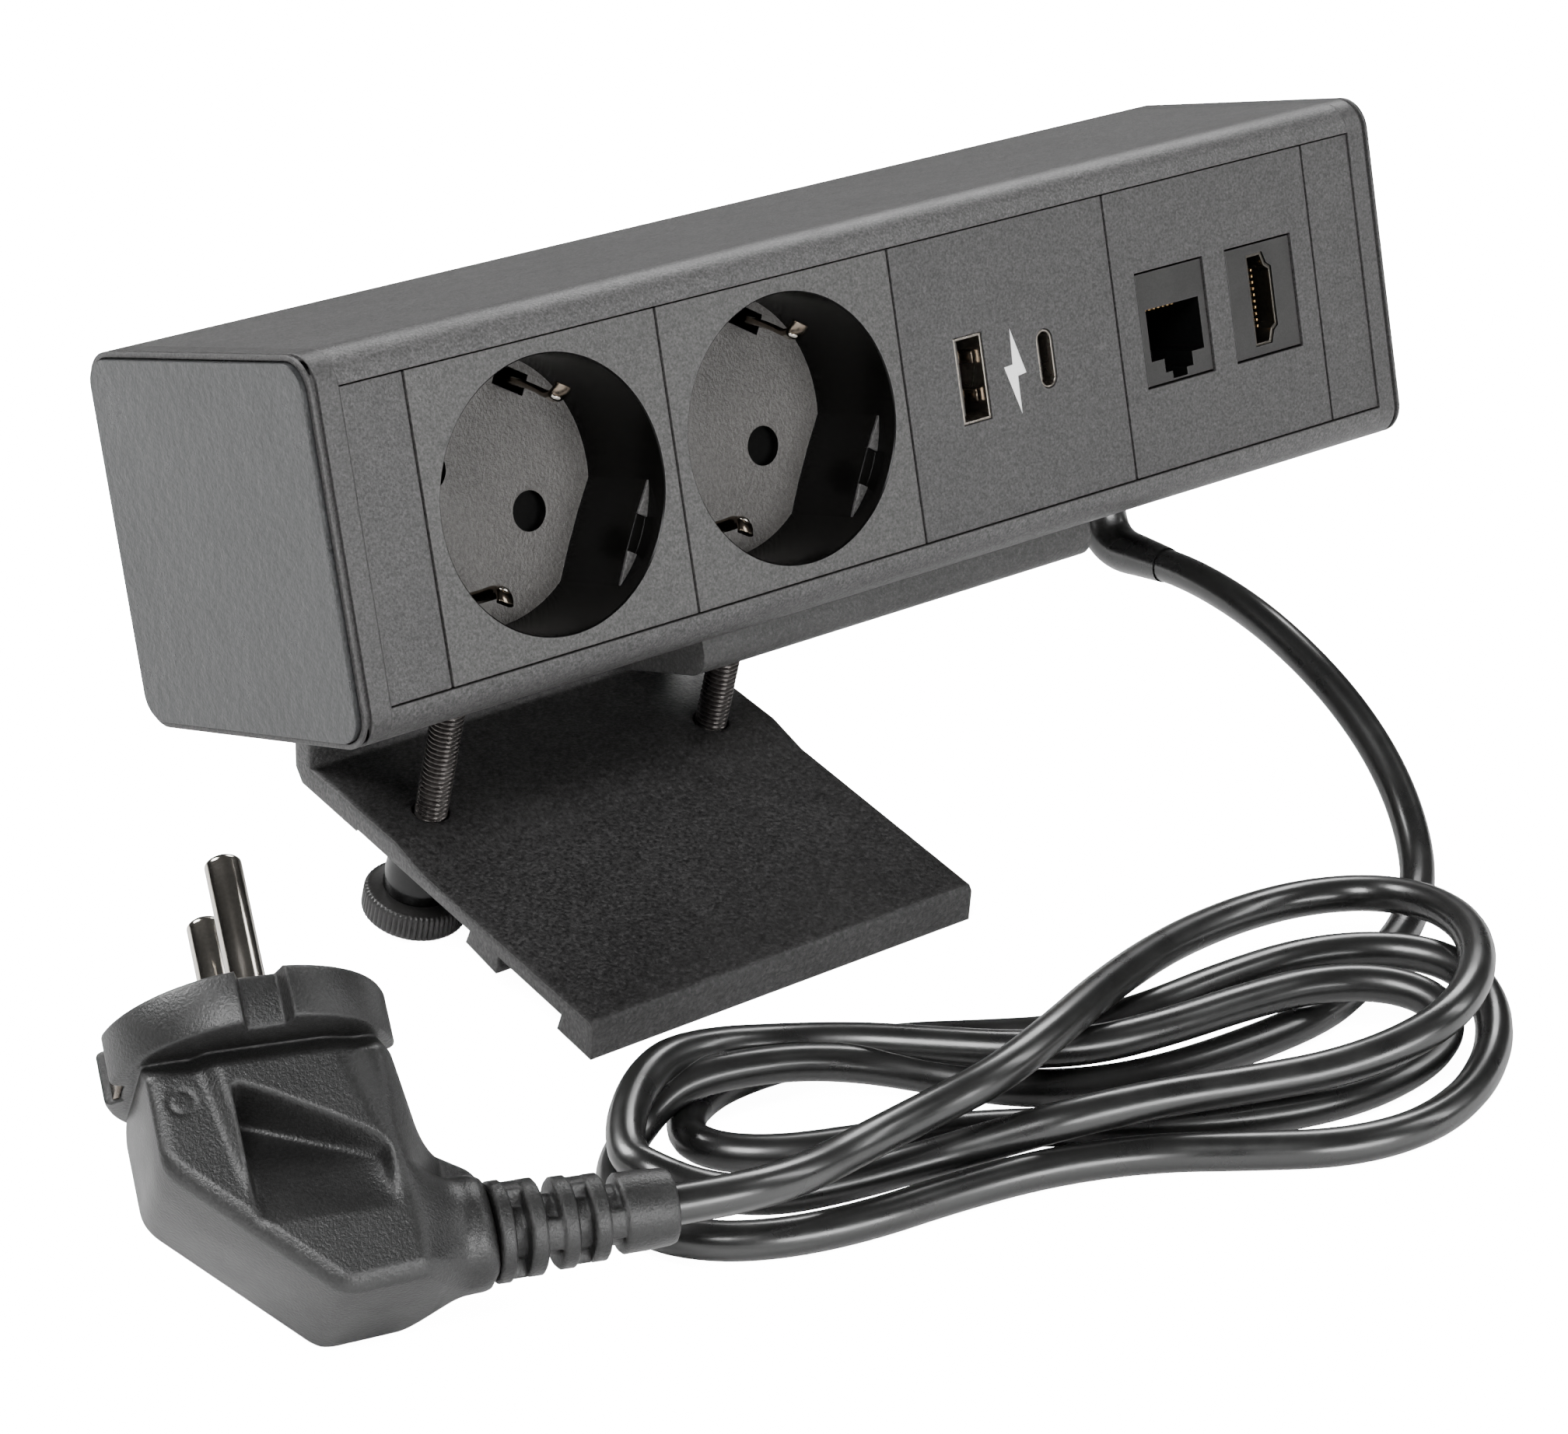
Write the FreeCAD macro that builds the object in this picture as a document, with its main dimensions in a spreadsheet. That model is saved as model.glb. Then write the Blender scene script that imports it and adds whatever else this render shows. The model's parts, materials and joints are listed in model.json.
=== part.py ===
import FreeCAD, Part

import math
import os

import Sketcher
from FreeCAD import Placement, Rotation, Vector

# Desk power strip with a tilting desk clamp, a mains lead and an angled plug.
# Millimetres. X runs along the strip, -Y is the socket side, +Z is up. The origin
# is on the standing surface, below the middle of the strip and its clamp.
#
# Two local frames are used. The housing frame has its origin in the middle of the
# modules' front face, with Y into the housing. The clamp frame has its origin in
# the inner corner of the clamp bracket, with Y towards the bracket's upright.

DIMENSIONS = {
    # housing
    "module": 45.0, "module_gap": 0.5, "face_inset": 0.3, "filler": 11.0,
    "housing_depth": 54.0, "housing_height": 55.0, "housing_corner": 5.0,
    "housing_wall": 1.8, "front_lip": 5.0, "port_block": 5.7, "port_hole": 1.2,
    "cap_thick": 4.7, "cap_groove": 0.8, "cap_groove_deep": 0.7, "cap_rim": 0.5,
    "plate_inset": 1.0, "plate_thick": 1.6, "plate_proud": 0.8, "plate_corner": 4.0,
    # sockets
    "recess_bore": 39.7, "recess_deep": 17.5, "cup_wall": 1.3, "cup_floor": 1.2,
    "face_thick": 3.0, "pin_spacing": 19.0, "pin_hole": 6.0, "socket_turn": 30.0,
    "key_wide": 5.6, "key_proud": 1.9, "clip_wide": 5.0, "clip_thick": 0.8,
    "rear_wide": 42.0, "rear_low": 14.0, "rear_high": 17.0, "rear_deep": 18.0,
    "rear_wall": 1.4, "contact_outer": 6.6, "contact_bore": 5.0, "contact_long": 13.3,
    "shutter_long": 26.0, "shutter_wide": 10.4, "shutter_thick": 1.5,
    # ports
    "usb_a_wide": 5.7, "usb_a_high": 13.1, "usb_a_deep": 14.0, "usb_a_wall": 0.35,
    "usb_c_wide": 3.26, "usb_c_high": 8.94, "usb_c_deep": 9.5, "usb_c_wall": 0.3,
    "keystone_wide": 14.6, "keystone_high": 17.6, "keystone_deep": 26.0, "keystone_gap": 0.7,
    "rj45_wide": 11.8, "rj45_high": 8.2, "rj45_deep": 13.0,
    "hdmi_wide": 5.4, "hdmi_high": 14.6, "hdmi_deep": 12.0, "hdmi_wall": 0.4,
    # clamp
    "clamp_turn": 28.2, "stand_turn": 13.0, "bracket_long": 74.0, "bracket_x": -43.0,
    "screw_pitch_x": 54.8, "screw_y": -17.24, "screw_dia": 5.0, "screw_fit": 0.05,
    "screw_hole": 5.8, "bar_dia": 8.0, "bar_fit": 0.05, "bar_height": 30.9,
    "bearing_wide": 5.0, "bearing_gap": 0.3, "screw_past_bar": 5.2,
    "knob_dia": 16.0, "knob_high": 4.5, "collar_dia": 10.6, "collar_high": 5.0,
    "neck_dia": 9.0, "neck_high": 5.35, "block_long": 80.0, "block_deep": 38.0,
    "block_high": 6.0, "block_front": 7.0, "block_corner": 3.5,
    # mains lead and plug
    "lead_dia": 5.4, "gland_x": 61.5, "gland_y": 27.0, "gland_outer": 10.4,
    "gland_flange": 13.0, "plug_disc": 37.0, "plug_disc_high": 7.2, "plug_pin": 4.8,
    "plug_pin_long": 19.0, "plug_heading": 23.0, "plug_turn": 47.6, "relief_long": 24.0,
    "relief_height": 32.4, "relief_start": 25.5,
}
STAND_Y = -17.79
STAND_Z = 75.84

doc = FreeCAD.newDocument("desk_power_strip")
sheet = doc.addObject("Spreadsheet::Sheet", "Dims")
for row, (alias, value) in enumerate(DIMENSIONS.items(), start=1):
    sheet.set(f"A{row}", alias.replace("_", " "))
    sheet.set(f"B{row}", str(value))
    sheet.setAlias(f"B{row}", alias)
doc.recompute()

PARTS = {}


class Sizes:
    """The sheet's values, read by name."""

    def __getattr__(self, alias):
        return float(sheet.get(alias))


S = Sizes()


# ---------------------------------------------------------------- small helpers

def bind(thing, prop, value):
    """Binds a property to an expression over the sheet, or sets a plain number."""
    if isinstance(value, str):
        thing.setExpression(prop, value)
    else:
        thing.setExpression(prop, repr(float(value)))


def place(thing, at, rotation=None):
    if rotation is not None:
        thing.Placement = Placement(Vector(), rotation)
    for axis, value in zip("xyz", at):
        bind(thing, f"Placement.Base.{axis}", value)
    return thing


def half(value):
    return f"({value})/2"


def box(name, size, centre):
    """A box given by its three sizes and its centre."""
    solid = doc.addObject("Part::Box", name)
    for prop, value in zip(("Length", "Width", "Height"), size):
        bind(solid, prop, value)
    return place(solid, [f"({c})-({half(s)})" for c, s in zip(centre, size)])


ALONG = {"x": Rotation(Vector(0, 1, 0), 90), "y": Rotation(Vector(1, 0, 0), -90),
         "z": Rotation()}


def rod(name, radius, length, start, along="z"):
    """A cylinder that runs from start, along +X, +Y or +Z."""
    solid = doc.addObject("Part::Cylinder", name)
    bind(solid, "Radius", radius)
    bind(solid, "Height", length)
    return place(solid, start, ALONG[along])


def cone(name, radius_low, radius_high, length, start, along="z"):
    solid = doc.addObject("Part::Cone", name)
    bind(solid, "Radius1", radius_low)
    bind(solid, "Radius2", radius_high)
    bind(solid, "Height", length)
    return place(solid, start, ALONG[along])


def fuse(name, *shapes):
    joined = doc.addObject("Part::MultiFuse", name)
    joined.Shapes = list(shapes)
    joined.Refine = True
    return joined


def group(name, shapes):
    together = doc.addObject("Part::Compound", name)
    together.Links = list(shapes)
    return together


def turned(name, shapes, axis, degrees):
    """The shapes as one group, turned about an axis through the origin."""
    together = group(name, shapes)
    together.Placement = Placement(Vector(), Rotation(axis, degrees))
    return together


def cut(name, base, *tools):
    """The base with every tool taken out of it."""
    tool = tools[0] if len(tools) == 1 else fuse(name + "_tools", *tools)
    result = doc.addObject("Part::Cut", name)
    result.Base = base
    result.Tool = tool
    result.Refine = True
    return result


def rounded(name, base, radius, pick):
    """Fillets the edges of base that pick accepts."""
    doc.recompute()
    edges = [i for i, edge in enumerate(base.Shape.Edges, start=1) if pick(edge)]
    result = doc.addObject("Part::Fillet", name)
    result.Base = base
    result.Edges = [(i, radius, radius) for i in edges]
    return result


def runs_along(axis):
    """Accepts the straight edges that run along one axis."""
    def pick(edge):
        if edge.Curve.TypeId != "Part::GeomLine":
            return False
        return abs(edge.Curve.Direction.dot(axis)) > 0.999
    return pick


X_AXIS, Y_AXIS, Z_AXIS = Vector(1, 0, 0), Vector(0, 1, 0), Vector(0, 0, 1)


def plane_of(body, role):
    return next(f for f in body.Origin.OriginFeatures if f.Role == role)


def outline(body, name, role, points, offset=0.0):
    """A closed polygon sketch on one of the body's planes, with its corners bound."""
    sketch = body.newObject("Sketcher::SketchObject", name)
    sketch.AttachmentSupport = [(plane_of(body, role), "")]
    sketch.MapMode = "FlatFace"
    sketch.AttachmentOffset = Placement(Vector(0, 0, offset), Rotation())
    xy = [[expression_value(v) for v in point] for point in points]
    count = len(points)
    for i in range(count):
        a, b = xy[i], xy[(i + 1) % count]
        sketch.addGeometry(Part.LineSegment(Vector(*a, 0), Vector(*b, 0)), False)
    for i in range(count):
        sketch.addConstraint(Sketcher.Constraint("Coincident", i, 2, (i + 1) % count, 1))
    for i, point in enumerate(points):
        for kind, value, number, axis in zip(("DistanceX", "DistanceY"), point, xy[i], (-2, -1)):
            if abs(number) < 1e-9:
                sketch.addConstraint(Sketcher.Constraint("PointOnObject", i, 1, axis))
                continue
            index = sketch.addConstraint(Sketcher.Constraint(kind, -1, 1, i, 1, number))
            if isinstance(value, str):
                sketch.setExpression(f"Constraints[{index}]", value)
    return sketch


def expression_value(value):
    """The number that an expression over the sheet stands for."""
    if not isinstance(value, str):
        return float(value)
    return float(sheet.evalExpression(value.replace("Dims.", "")))


def profile_body(name, points, length, centre_x=0.0):
    """A body whose outline in the YZ plane is padded along X about centre_x."""
    body = doc.addObject("PartDesign::Body", name)
    sketch = outline(body, name + "_outline", "YZ_Plane", points, centre_x)
    pad = body.newObject("PartDesign::Pad", name + "_pad")
    pad.Profile = sketch
    pad.Midplane = True
    bind(pad, "Length", length)
    doc.recompute()
    return body, pad


def pocket(body, name, role, points, length, offset=0.0):
    """Takes a prism of the given length, centred on the sketch's plane, out of body."""
    sketch = outline(body, name + "_outline", role, points, offset)
    hole = body.newObject("PartDesign::Pocket", name)
    hole.Profile = sketch
    hole.Midplane = True
    bind(hole, "Length", length)
    before = body.Shape.Volume if not body.Shape.isNull() else 0.0
    doc.recompute()
    if body.Shape.Volume >= before:
        raise ValueError(f"{name} removes nothing")
    return hole


def soften(body, name, radius, pick):
    """Fillets the edges of the body's tip that pick accepts."""
    tip = body.Tip
    names = [f"Edge{i}" for i, e in enumerate(tip.Shape.Edges, start=1) if pick(e)]
    fillet = body.newObject("PartDesign::Fillet", name)
    fillet.Base = (tip, names)
    bind(fillet, "Radius", radius)
    doc.recompute()
    return fillet


# ------------------------------------------------------------ the two frames

HOUSING = Placement(Vector(0, STAND_Y, STAND_Z), Rotation(X_AXIS, -S.stand_turn))


def pivot():
    """The clamp's tilt axis in the housing frame, inside the housing's floor."""
    return Vector(0, 23.9, -21.5)


def clamp_frame():
    turn = Rotation(X_AXIS, S.clamp_turn)
    inner_corner = pivot() - turn.multVec(Vector(0, S.screw_y, S.bar_height))
    return HOUSING * Placement(inner_corner, turn)


CLAMP = clamp_frame()


def finish(node, thing, frame):
    """Names a finished sub-part and puts it in its frame."""
    if thing.ExpressionEngine:
        thing = group(node + "_placed", [thing])
    thing.Label = node
    thing.Placement = frame * thing.Placement
    PARTS[node] = thing


# ---------------------------------------------------------------- the housing

MODULES = {"socket_1": -67.5, "socket_2": -22.5, "usb": 22.5, "data": 67.5}
SHELL_LONG = "4*Dims.module+2*Dims.filler"


def housing_shell():
    """The extruded shell: open front, screw ports in its four inner corners."""
    depth, high = "Dims.housing_depth", "Dims.housing_height/2"
    body, _ = profile_body("housing_shell", [
        (0.0, f"-{high}"), (depth, f"-{high}"), (depth, high), (0.0, high)], SHELL_LONG)
    soften(body, "shell_corners", "Dims.housing_corner", runs_along(X_AXIS))
    face = "Dims.module/2"
    wall_z = "Dims.housing_height/2-Dims.housing_wall"
    wall_y = "Dims.housing_depth-Dims.housing_wall"
    port_y = "Dims.housing_depth-Dims.housing_wall-Dims.port_block"
    port_z = "Dims.housing_height/2-Dims.housing_wall-Dims.port_block"
    upper = [(-1.0, face), ("Dims.front_lip", face), ("Dims.front_lip", wall_z),
             (port_y, wall_z), (port_y, port_z), (wall_y, port_z)]
    lower = [(y, f"-({z})") for y, z in reversed(upper)]
    pocket(body, "shell_cavity", "YZ_Plane", upper + lower, f"{SHELL_LONG}+2")
    for i, x in enumerate(screw_places()):
        slot = [(x - 3.0, 20.6), (x + 3.0, 20.6), (x + 3.0, 30.4), (x - 3.0, 30.4)]
        pocket(body, f"screw_slot_{i}", "XY_Plane", slot, 6.0, -S.housing_height / 2)
    return body


def screw_places():
    """X of the two clamp screws."""
    return [S.bracket_x - S.screw_pitch_x / 2, S.bracket_x + S.screw_pitch_x / 2]


def port_places():
    """Y and Z of the four screw ports, which the end caps are fastened to."""
    z_front = S.module / 2 + 2.4
    y_back = S.housing_depth - S.housing_wall - 2.6
    z_back = S.housing_height / 2 - S.housing_wall - 2.6
    return [(2.9, z_front), (2.9, -z_front), (y_back, z_back), (y_back, -z_back)]


def drilled_shell():
    shell = housing_shell()
    drills = [rod(f"port_drill_{i}", "Dims.port_hole", f"{SHELL_LONG}+2",
                  (f"-({SHELL_LONG})/2-1", y, z), "x")
              for i, (y, z) in enumerate(port_places())]
    drills.append(rod("gland_drill", "Dims.gland_outer/2-0.8", 8.0,
                      ("Dims.gland_x", "Dims.gland_y", -31.0)))
    drills += [rod(f"block_drill_{i}", 1.25, 6.0, (x, y, -29.0))
               for i, (x, y) in enumerate(block_screw_places())]
    finish("housing_shell", cut("shell_drilled", shell, *drills), HOUSING)


def end_caps():
    """Each cap has a shadow groove, a thin outer rim and a recess for its plate."""
    for side, sign in (("left", -1), ("right", 1)):
        inner = f"{sign}*({SHELL_LONG})/2"
        middle = f"{inner}+{sign}*Dims.cap_thick/2"
        size = ("Dims.cap_thick", "Dims.housing_depth", "Dims.housing_height")
        blank = box(f"{side}_cap_blank", size, (middle, "Dims.housing_depth/2", 0.0))
        solid = rounded(f"{side}_cap_round", blank, S.housing_corner, runs_along(X_AXIS))
        groove_x = f"{inner}+{sign}*(Dims.cap_thick-Dims.cap_rim-Dims.cap_groove/2)"
        keep_y = "Dims.housing_depth-2*Dims.cap_groove_deep"
        keep_z = "Dims.housing_height-2*Dims.cap_groove_deep"
        ring = box(f"{side}_groove_out", ("Dims.cap_groove", 80.0, 80.0),
                   (groove_x, "Dims.housing_depth/2", 0.0))
        core = box(f"{side}_groove_core", ("Dims.cap_groove+1", keep_y, keep_z),
                   (groove_x, "Dims.housing_depth/2", 0.0))
        core = rounded(f"{side}_groove_keep", core,
                       S.housing_corner - S.cap_groove_deep, runs_along(X_AXIS))
        groove = cut(f"{side}_groove", ring, core)
        recess_deep = "Dims.plate_thick-Dims.plate_proud"
        recess_x = f"{inner}+{sign}*(Dims.cap_thick-({recess_deep})/2+0.5)"
        inset = "2*Dims.plate_inset-0.4"
        seat = box(f"{side}_seat", (f"{recess_deep}+1", f"Dims.housing_depth-({inset})",
                                    f"Dims.housing_height-({inset})"),
                   (recess_x, "Dims.housing_depth/2", 0.0))
        seat = rounded(f"{side}_seat_round", seat, S.plate_corner + 0.2, runs_along(X_AXIS))
        holes = [rod(f"{side}_cap_hole_{i}", 1.6, 8.0, (f"{inner}-4", y, z), "x")
                 for i, (y, z) in enumerate(port_places())]
        sinks = [rod(f"{side}_cap_sink_{i}", 2.7, 4.0,
                     (f"{inner}+{1.9 if sign > 0 else -5.9}", y, z), "x")
                 for i, (y, z) in enumerate(port_places()[2:])]
        finish(f"{side}_end_cap", cut(f"{side}_cap", solid, groove, seat, *holes, *sinks), HOUSING)
        plate(side, sign, inner)


def plate(side, sign, inner):
    """The flat cover plate that sits in the end cap's recess."""
    x = f"{inner}+{sign}*(Dims.cap_thick+Dims.plate_proud-Dims.plate_thick/2)"
    blank = box(f"{side}_plate_blank", (
        "Dims.plate_thick", "Dims.housing_depth-2*Dims.plate_inset",
        "Dims.housing_height-2*Dims.plate_inset"), (x, "Dims.housing_depth/2", 0.0))
    solid = rounded(f"{side}_plate_round", blank, S.plate_corner, runs_along(X_AXIS))
    finish(f"{side}_end_plate", solid, HOUSING)


def end_cap_screws():
    """Two countersunk screws per cap, under the plates, in the rear ports."""
    screws = []
    for side, sign in (("left", -1), ("right", 1)):
        for i, (y, z) in enumerate(port_places()[2:]):
            end = sign * (S.module * 2 + S.filler)
            shank_from = end - 9.0 if sign > 0 else end - 2.0
            head_from = end + 2.0 if sign > 0 else end - 3.6
            name = f"{side}_screw_{i}"
            shank = rod(name + "_shank", "Dims.port_hole", 11.0, (shank_from, y, z), "x")
            head = rod(name + "_head", 2.4, 1.6, (head_from, y, z), "x")
            screws.append(fuse(name, shank, head))
    finish("end_cap_screws", group("cap_screws", screws), HOUSING)


def filler_strips():
    """Blank strips between the modules and the caps, each with two clip legs."""
    for side, sign in (("left", -1), ("right", 1)):
        x = f"{sign}*(2*Dims.module+Dims.filler/2)"
        wide = "Dims.filler-Dims.module_gap"
        face = box(f"{side}_filler_face", (wide, "Dims.face_thick-1", "Dims.module-Dims.module_gap"),
                   (x, "Dims.face_inset+Dims.face_thick/2-0.5", 0.0))
        legs = [box(f"{side}_filler_leg_{i}", (f"{wide}-3", 12.0, 1.4), (x, 7.0, z))
                for i, z in enumerate((-20.0, 20.0))]
        finish(f"{side}_filler_strip", fuse(f"{side}_filler", face, *legs), HOUSING)


# ---------------------------------------------------------------- the sockets

def at_module(key):
    return HOUSING * Placement(Vector(MODULES[key], 0, 0), Rotation())


def in_socket(key):
    """A socket's own frame: turned about its axis, with its pins along X."""
    return at_module(key) * Placement(Vector(), Rotation(Y_AXIS, S.socket_turn))


def socket_front(key):
    """The face and cup of a socket, with guide keys, pin holes and clip slots."""
    square = "Dims.module-Dims.module_gap"
    inset = "Dims.face_inset"
    face = box(f"{key}_face", (square, "Dims.face_thick", square),
               (0.0, f"{inset}+Dims.face_thick/2", 0.0))
    cup = rod(f"{key}_cup", "Dims.recess_bore/2+Dims.cup_wall",
              "Dims.recess_deep+Dims.cup_floor", (0.0, inset, 0.0), "y")
    recess = rod(f"{key}_recess", "Dims.recess_bore/2", "Dims.recess_deep+1",
                 (0.0, f"{inset}-1", 0.0), "y")
    bevel = cone(f"{key}_bevel", "Dims.recess_bore/2+0.6", "Dims.recess_bore/2-0.4", 1.0,
                 (0.0, f"{inset}-0.4", 0.0), "y")
    hollow = cut(f"{key}_hollow", fuse(f"{key}_solid", face, cup), recess, bevel)
    keys = [guide_key(f"{key}_key_{i}", sign) for i, sign in enumerate((-1, 1))]
    holes = [rod(f"{key}_pin_hole_{i}", "Dims.pin_hole/2", 8.0,
                 (f"{sign}*Dims.pin_spacing/2", 14.0, 0.0), "y")
             for i, sign in enumerate((-1, 1))]
    slots = [box(f"{key}_clip_slot_{i}", ("Dims.clip_wide+0.8", 8.0, 3.2), (0.0, 18.0, sign * 16.8))
             for i, sign in enumerate((-1, 1))]
    y_turn = (Y_AXIS, S.socket_turn)
    keyed = fuse(f"{key}_keyed", hollow, turned(f"{key}_keys", keys, *y_turn))
    open_floor = turned(f"{key}_floor_cuts", holes + slots, *y_turn)
    finish(f"{key}_front", cut(f"{key}_cut", keyed, open_floor), at_module(key))


def guide_key(name, sign):
    """A raised key on the cup's wall with a sloping flank on each side."""
    reach = S.recess_bore / 2
    low, high = S.key_wide / 2, S.key_wide / 2 + 6.0
    wall = math.sqrt((reach + 0.4) ** 2 - high ** 2)
    crown = reach - S.key_proud
    points = [(crown, -low), (wall, -high), (reach + 0.4, -low), (reach + 0.4, low),
              (wall, high), (crown, low)]
    flip = 1 if sign > 0 else -1
    corners = [Vector(sign * x, S.face_inset + 4.0, z * flip) for x, z in points]
    solid = doc.addObject("Part::Feature", name)
    outline_wire = Part.makePolygon(corners + corners[:1])
    solid.Shape = Part.Face(outline_wire).extrude(Vector(0, S.recess_deep - 4.0, 0))
    return solid


def socket_rear(key):
    """The contact housing that closes the back of a socket."""
    start = "Dims.face_inset+Dims.recess_deep+Dims.cup_floor+0.05"
    high = "Dims.rear_low+Dims.rear_high"
    middle = "(Dims.rear_high-Dims.rear_low)/2"
    outer = box(f"{key}_rear_outer", ("Dims.rear_wide", "Dims.rear_deep", high),
                (0.0, f"{start}+Dims.rear_deep/2", middle))
    inner = box(f"{key}_rear_inner",
                ("Dims.rear_wide-2*Dims.rear_wall", "Dims.rear_deep-Dims.rear_wall",
                 f"{high}-2*Dims.rear_wall"),
                (0.0, f"{start}+Dims.rear_deep/2-Dims.rear_wall/2", middle))
    relief = [box(f"{key}_rear_clip_{i}", ("Dims.clip_wide+1.2", 6.4, 8.0),
                  (0.0, f"{start}+3.2", sign * 15.0)) for i, sign in enumerate((-1, 1))]
    opened = turned(f"{key}_rear_relief", relief, Y_AXIS, S.socket_turn)
    finish(f"{key}_contact_housing", cut(f"{key}_rear", outer, inner, opened), at_module(key))


def socket_contacts(key):
    """The two sprung sleeves that grip a plug's pins."""
    start = "Dims.face_inset+Dims.recess_deep+Dims.cup_floor+3.3"
    sleeves = []
    for i, sign in enumerate((-1, 1)):
        x = f"{sign}*Dims.pin_spacing/2"
        at = (x, start, 0.0)
        tube = rod(f"{key}_sleeve_{i}", "Dims.contact_outer/2", "Dims.contact_long", at, "y")
        bore = rod(f"{key}_sleeve_bore_{i}", "Dims.contact_bore/2", "Dims.contact_long-2", at, "y")
        slit = box(f"{key}_sleeve_slit_{i}", (0.6, 9.0, 9.0), (x, f"{start}+4.4", 0.0))
        sleeves.append(cut(f"{key}_contact_{i}", tube, bore, slit))
    finish(f"{key}_pin_contacts", group(f"{key}_contacts", sleeves), in_socket(key))


def socket_shutter(key):
    """The sprung plate that covers both pin holes, with a window it slides into line."""
    floor = "Dims.face_inset+Dims.recess_deep+Dims.cup_floor"
    bar = box(f"{key}_shutter_bar", ("Dims.shutter_long", "Dims.shutter_thick", "Dims.shutter_wide"),
              (0.0, f"{floor}+0.4+Dims.shutter_thick/2", 0.0))
    window = box(f"{key}_shutter_window", (6.2, 6.0, 6.2), (-3.0, f"{floor}+1", 0.0))
    ramps = [box(f"{key}_shutter_ramp_{i}", (6.6, 0.9, 6.6),
                 (sign * 9.5, f"{floor}+0.4+Dims.shutter_thick+0.4", 0.0))
             for i, sign in enumerate((-1, 1))]
    plate_solid = cut(f"{key}_shutter_plate", bar, window)
    finish(f"{key}_shutter", fuse(f"{key}_shutter_solid", plate_solid, *ramps), in_socket(key))


def earth_clip(key):
    """One bent strip: a bridge behind the cup and two arms into its recess."""
    body = doc.addObject("PartDesign::Body", f"{key}_clip")
    thick, back, front = S.clip_thick, 24.0, 5.0
    outer = [(back, 17.6), (front + 1.6, 17.6), (front, 19.0), (front, 17.9),
             (front + 2.2, 14.9), (front + 4.4, 16.2), (front + 7.0, 16.8),
             (back - thick, 16.8)]
    upper = [(back, 0.0)] + outer
    lower = [(y, -z) for y, z in reversed(outer)]
    sketch = outline(body, f"{key}_clip_outline", "YZ_Plane", upper + lower)
    pad = body.newObject("PartDesign::Pad", f"{key}_clip_pad")
    pad.Profile = sketch
    pad.Midplane = True
    bind(pad, "Length", "Dims.clip_wide")
    doc.recompute()
    finish(f"{key}_earth_clip", body, in_socket(key))


# ------------------------------------------------------------ the USB charger

USB_A_X, USB_C_X, BOLT_X = -8.8, 6.8, 0.7


def slot_solid(name, wide, high, deep, at):
    """A box whose long edges along Y are rounded to half its width."""
    blank = box(name + "_blank", (wide, deep, high), at)
    radius = expression_value(wide) / 2 - 0.02
    return rounded(name, blank, radius, runs_along(Y_AXIS))


def usb_front():
    square = "Dims.module-Dims.module_gap"
    face = box("usb_face", (square, 2.2, square), (0.0, "Dims.face_inset+1.1", 0.0))
    window_a = box("usb_a_window", ("Dims.usb_a_wide+0.3", 6.0, "Dims.usb_a_high+0.3"),
                   (USB_A_X, 1.0, 0.0))
    window_c = slot_solid("usb_c_window", "Dims.usb_c_wide+0.3", "Dims.usb_c_high+0.3", 6.0,
                          (USB_C_X, 1.0, 0.0))
    bolt = charge_outline("mark_cutter", 0.3)
    finish("usb_module_front", cut("usb_front", face, window_a, window_c, bolt),
           at_module("usb"))


def charge_outline(name, deep):
    """A plain lightning bolt, sunk into the charger's face."""
    body = doc.addObject("PartDesign::Body", name)
    points = [(-0.8, 6.0), (1.5, -1.2), (-0.3, -1.4), (-0.4, -7.2), (-2.9, 0.4), (-1.1, 0.5)]
    sketch = outline(body, name + "_outline", "XZ_Plane", points, -(S.face_inset + deep / 2))
    pad = body.newObject("PartDesign::Pad", name + "_pad")
    pad.Profile = sketch
    pad.Midplane = True
    bind(pad, "Length", deep)
    doc.recompute()
    body.Placement = Placement(Vector(BOLT_X, 0, 0), Rotation())
    return body


def charge_symbol():
    finish("charge_symbol", charge_outline("charge_mark", 0.29), at_module("usb"))


def usb_module_box():
    outer = box("usb_box_outer", (41.0, 26.0, 41.0), (0.0, "Dims.face_inset+2.25+13", 0.0))
    inner = box("usb_box_inner", (38.0, 24.5, 38.0), (0.0, "Dims.face_inset+2.25+12.25", 0.0))
    finish("usb_module_box", cut("usb_box", outer, inner), at_module("usb"))


def usb_a_port():
    """The metal shell and the tongue, which lies towards -X."""
    y = "Dims.face_inset+0.2+Dims.usb_a_deep/2"
    outer = box("usb_a_outer", ("Dims.usb_a_wide", "Dims.usb_a_deep", "Dims.usb_a_high"),
                (USB_A_X, y, 0.0))
    inner = box("usb_a_inner", ("Dims.usb_a_wide-2*Dims.usb_a_wall", "Dims.usb_a_deep",
                                "Dims.usb_a_high-2*Dims.usb_a_wall"), (USB_A_X, f"{y}-1", 0.0))
    finish("usb_a_shell", cut("usb_a_tube", outer, inner), at_module("usb"))
    tongue = box("usb_a_tongue_bar", (1.9, 10.6, 11.4), (USB_A_X - 1.3, 7.9, 0.0))
    finish("usb_a_tongue", tongue, at_module("usb"))


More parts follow.
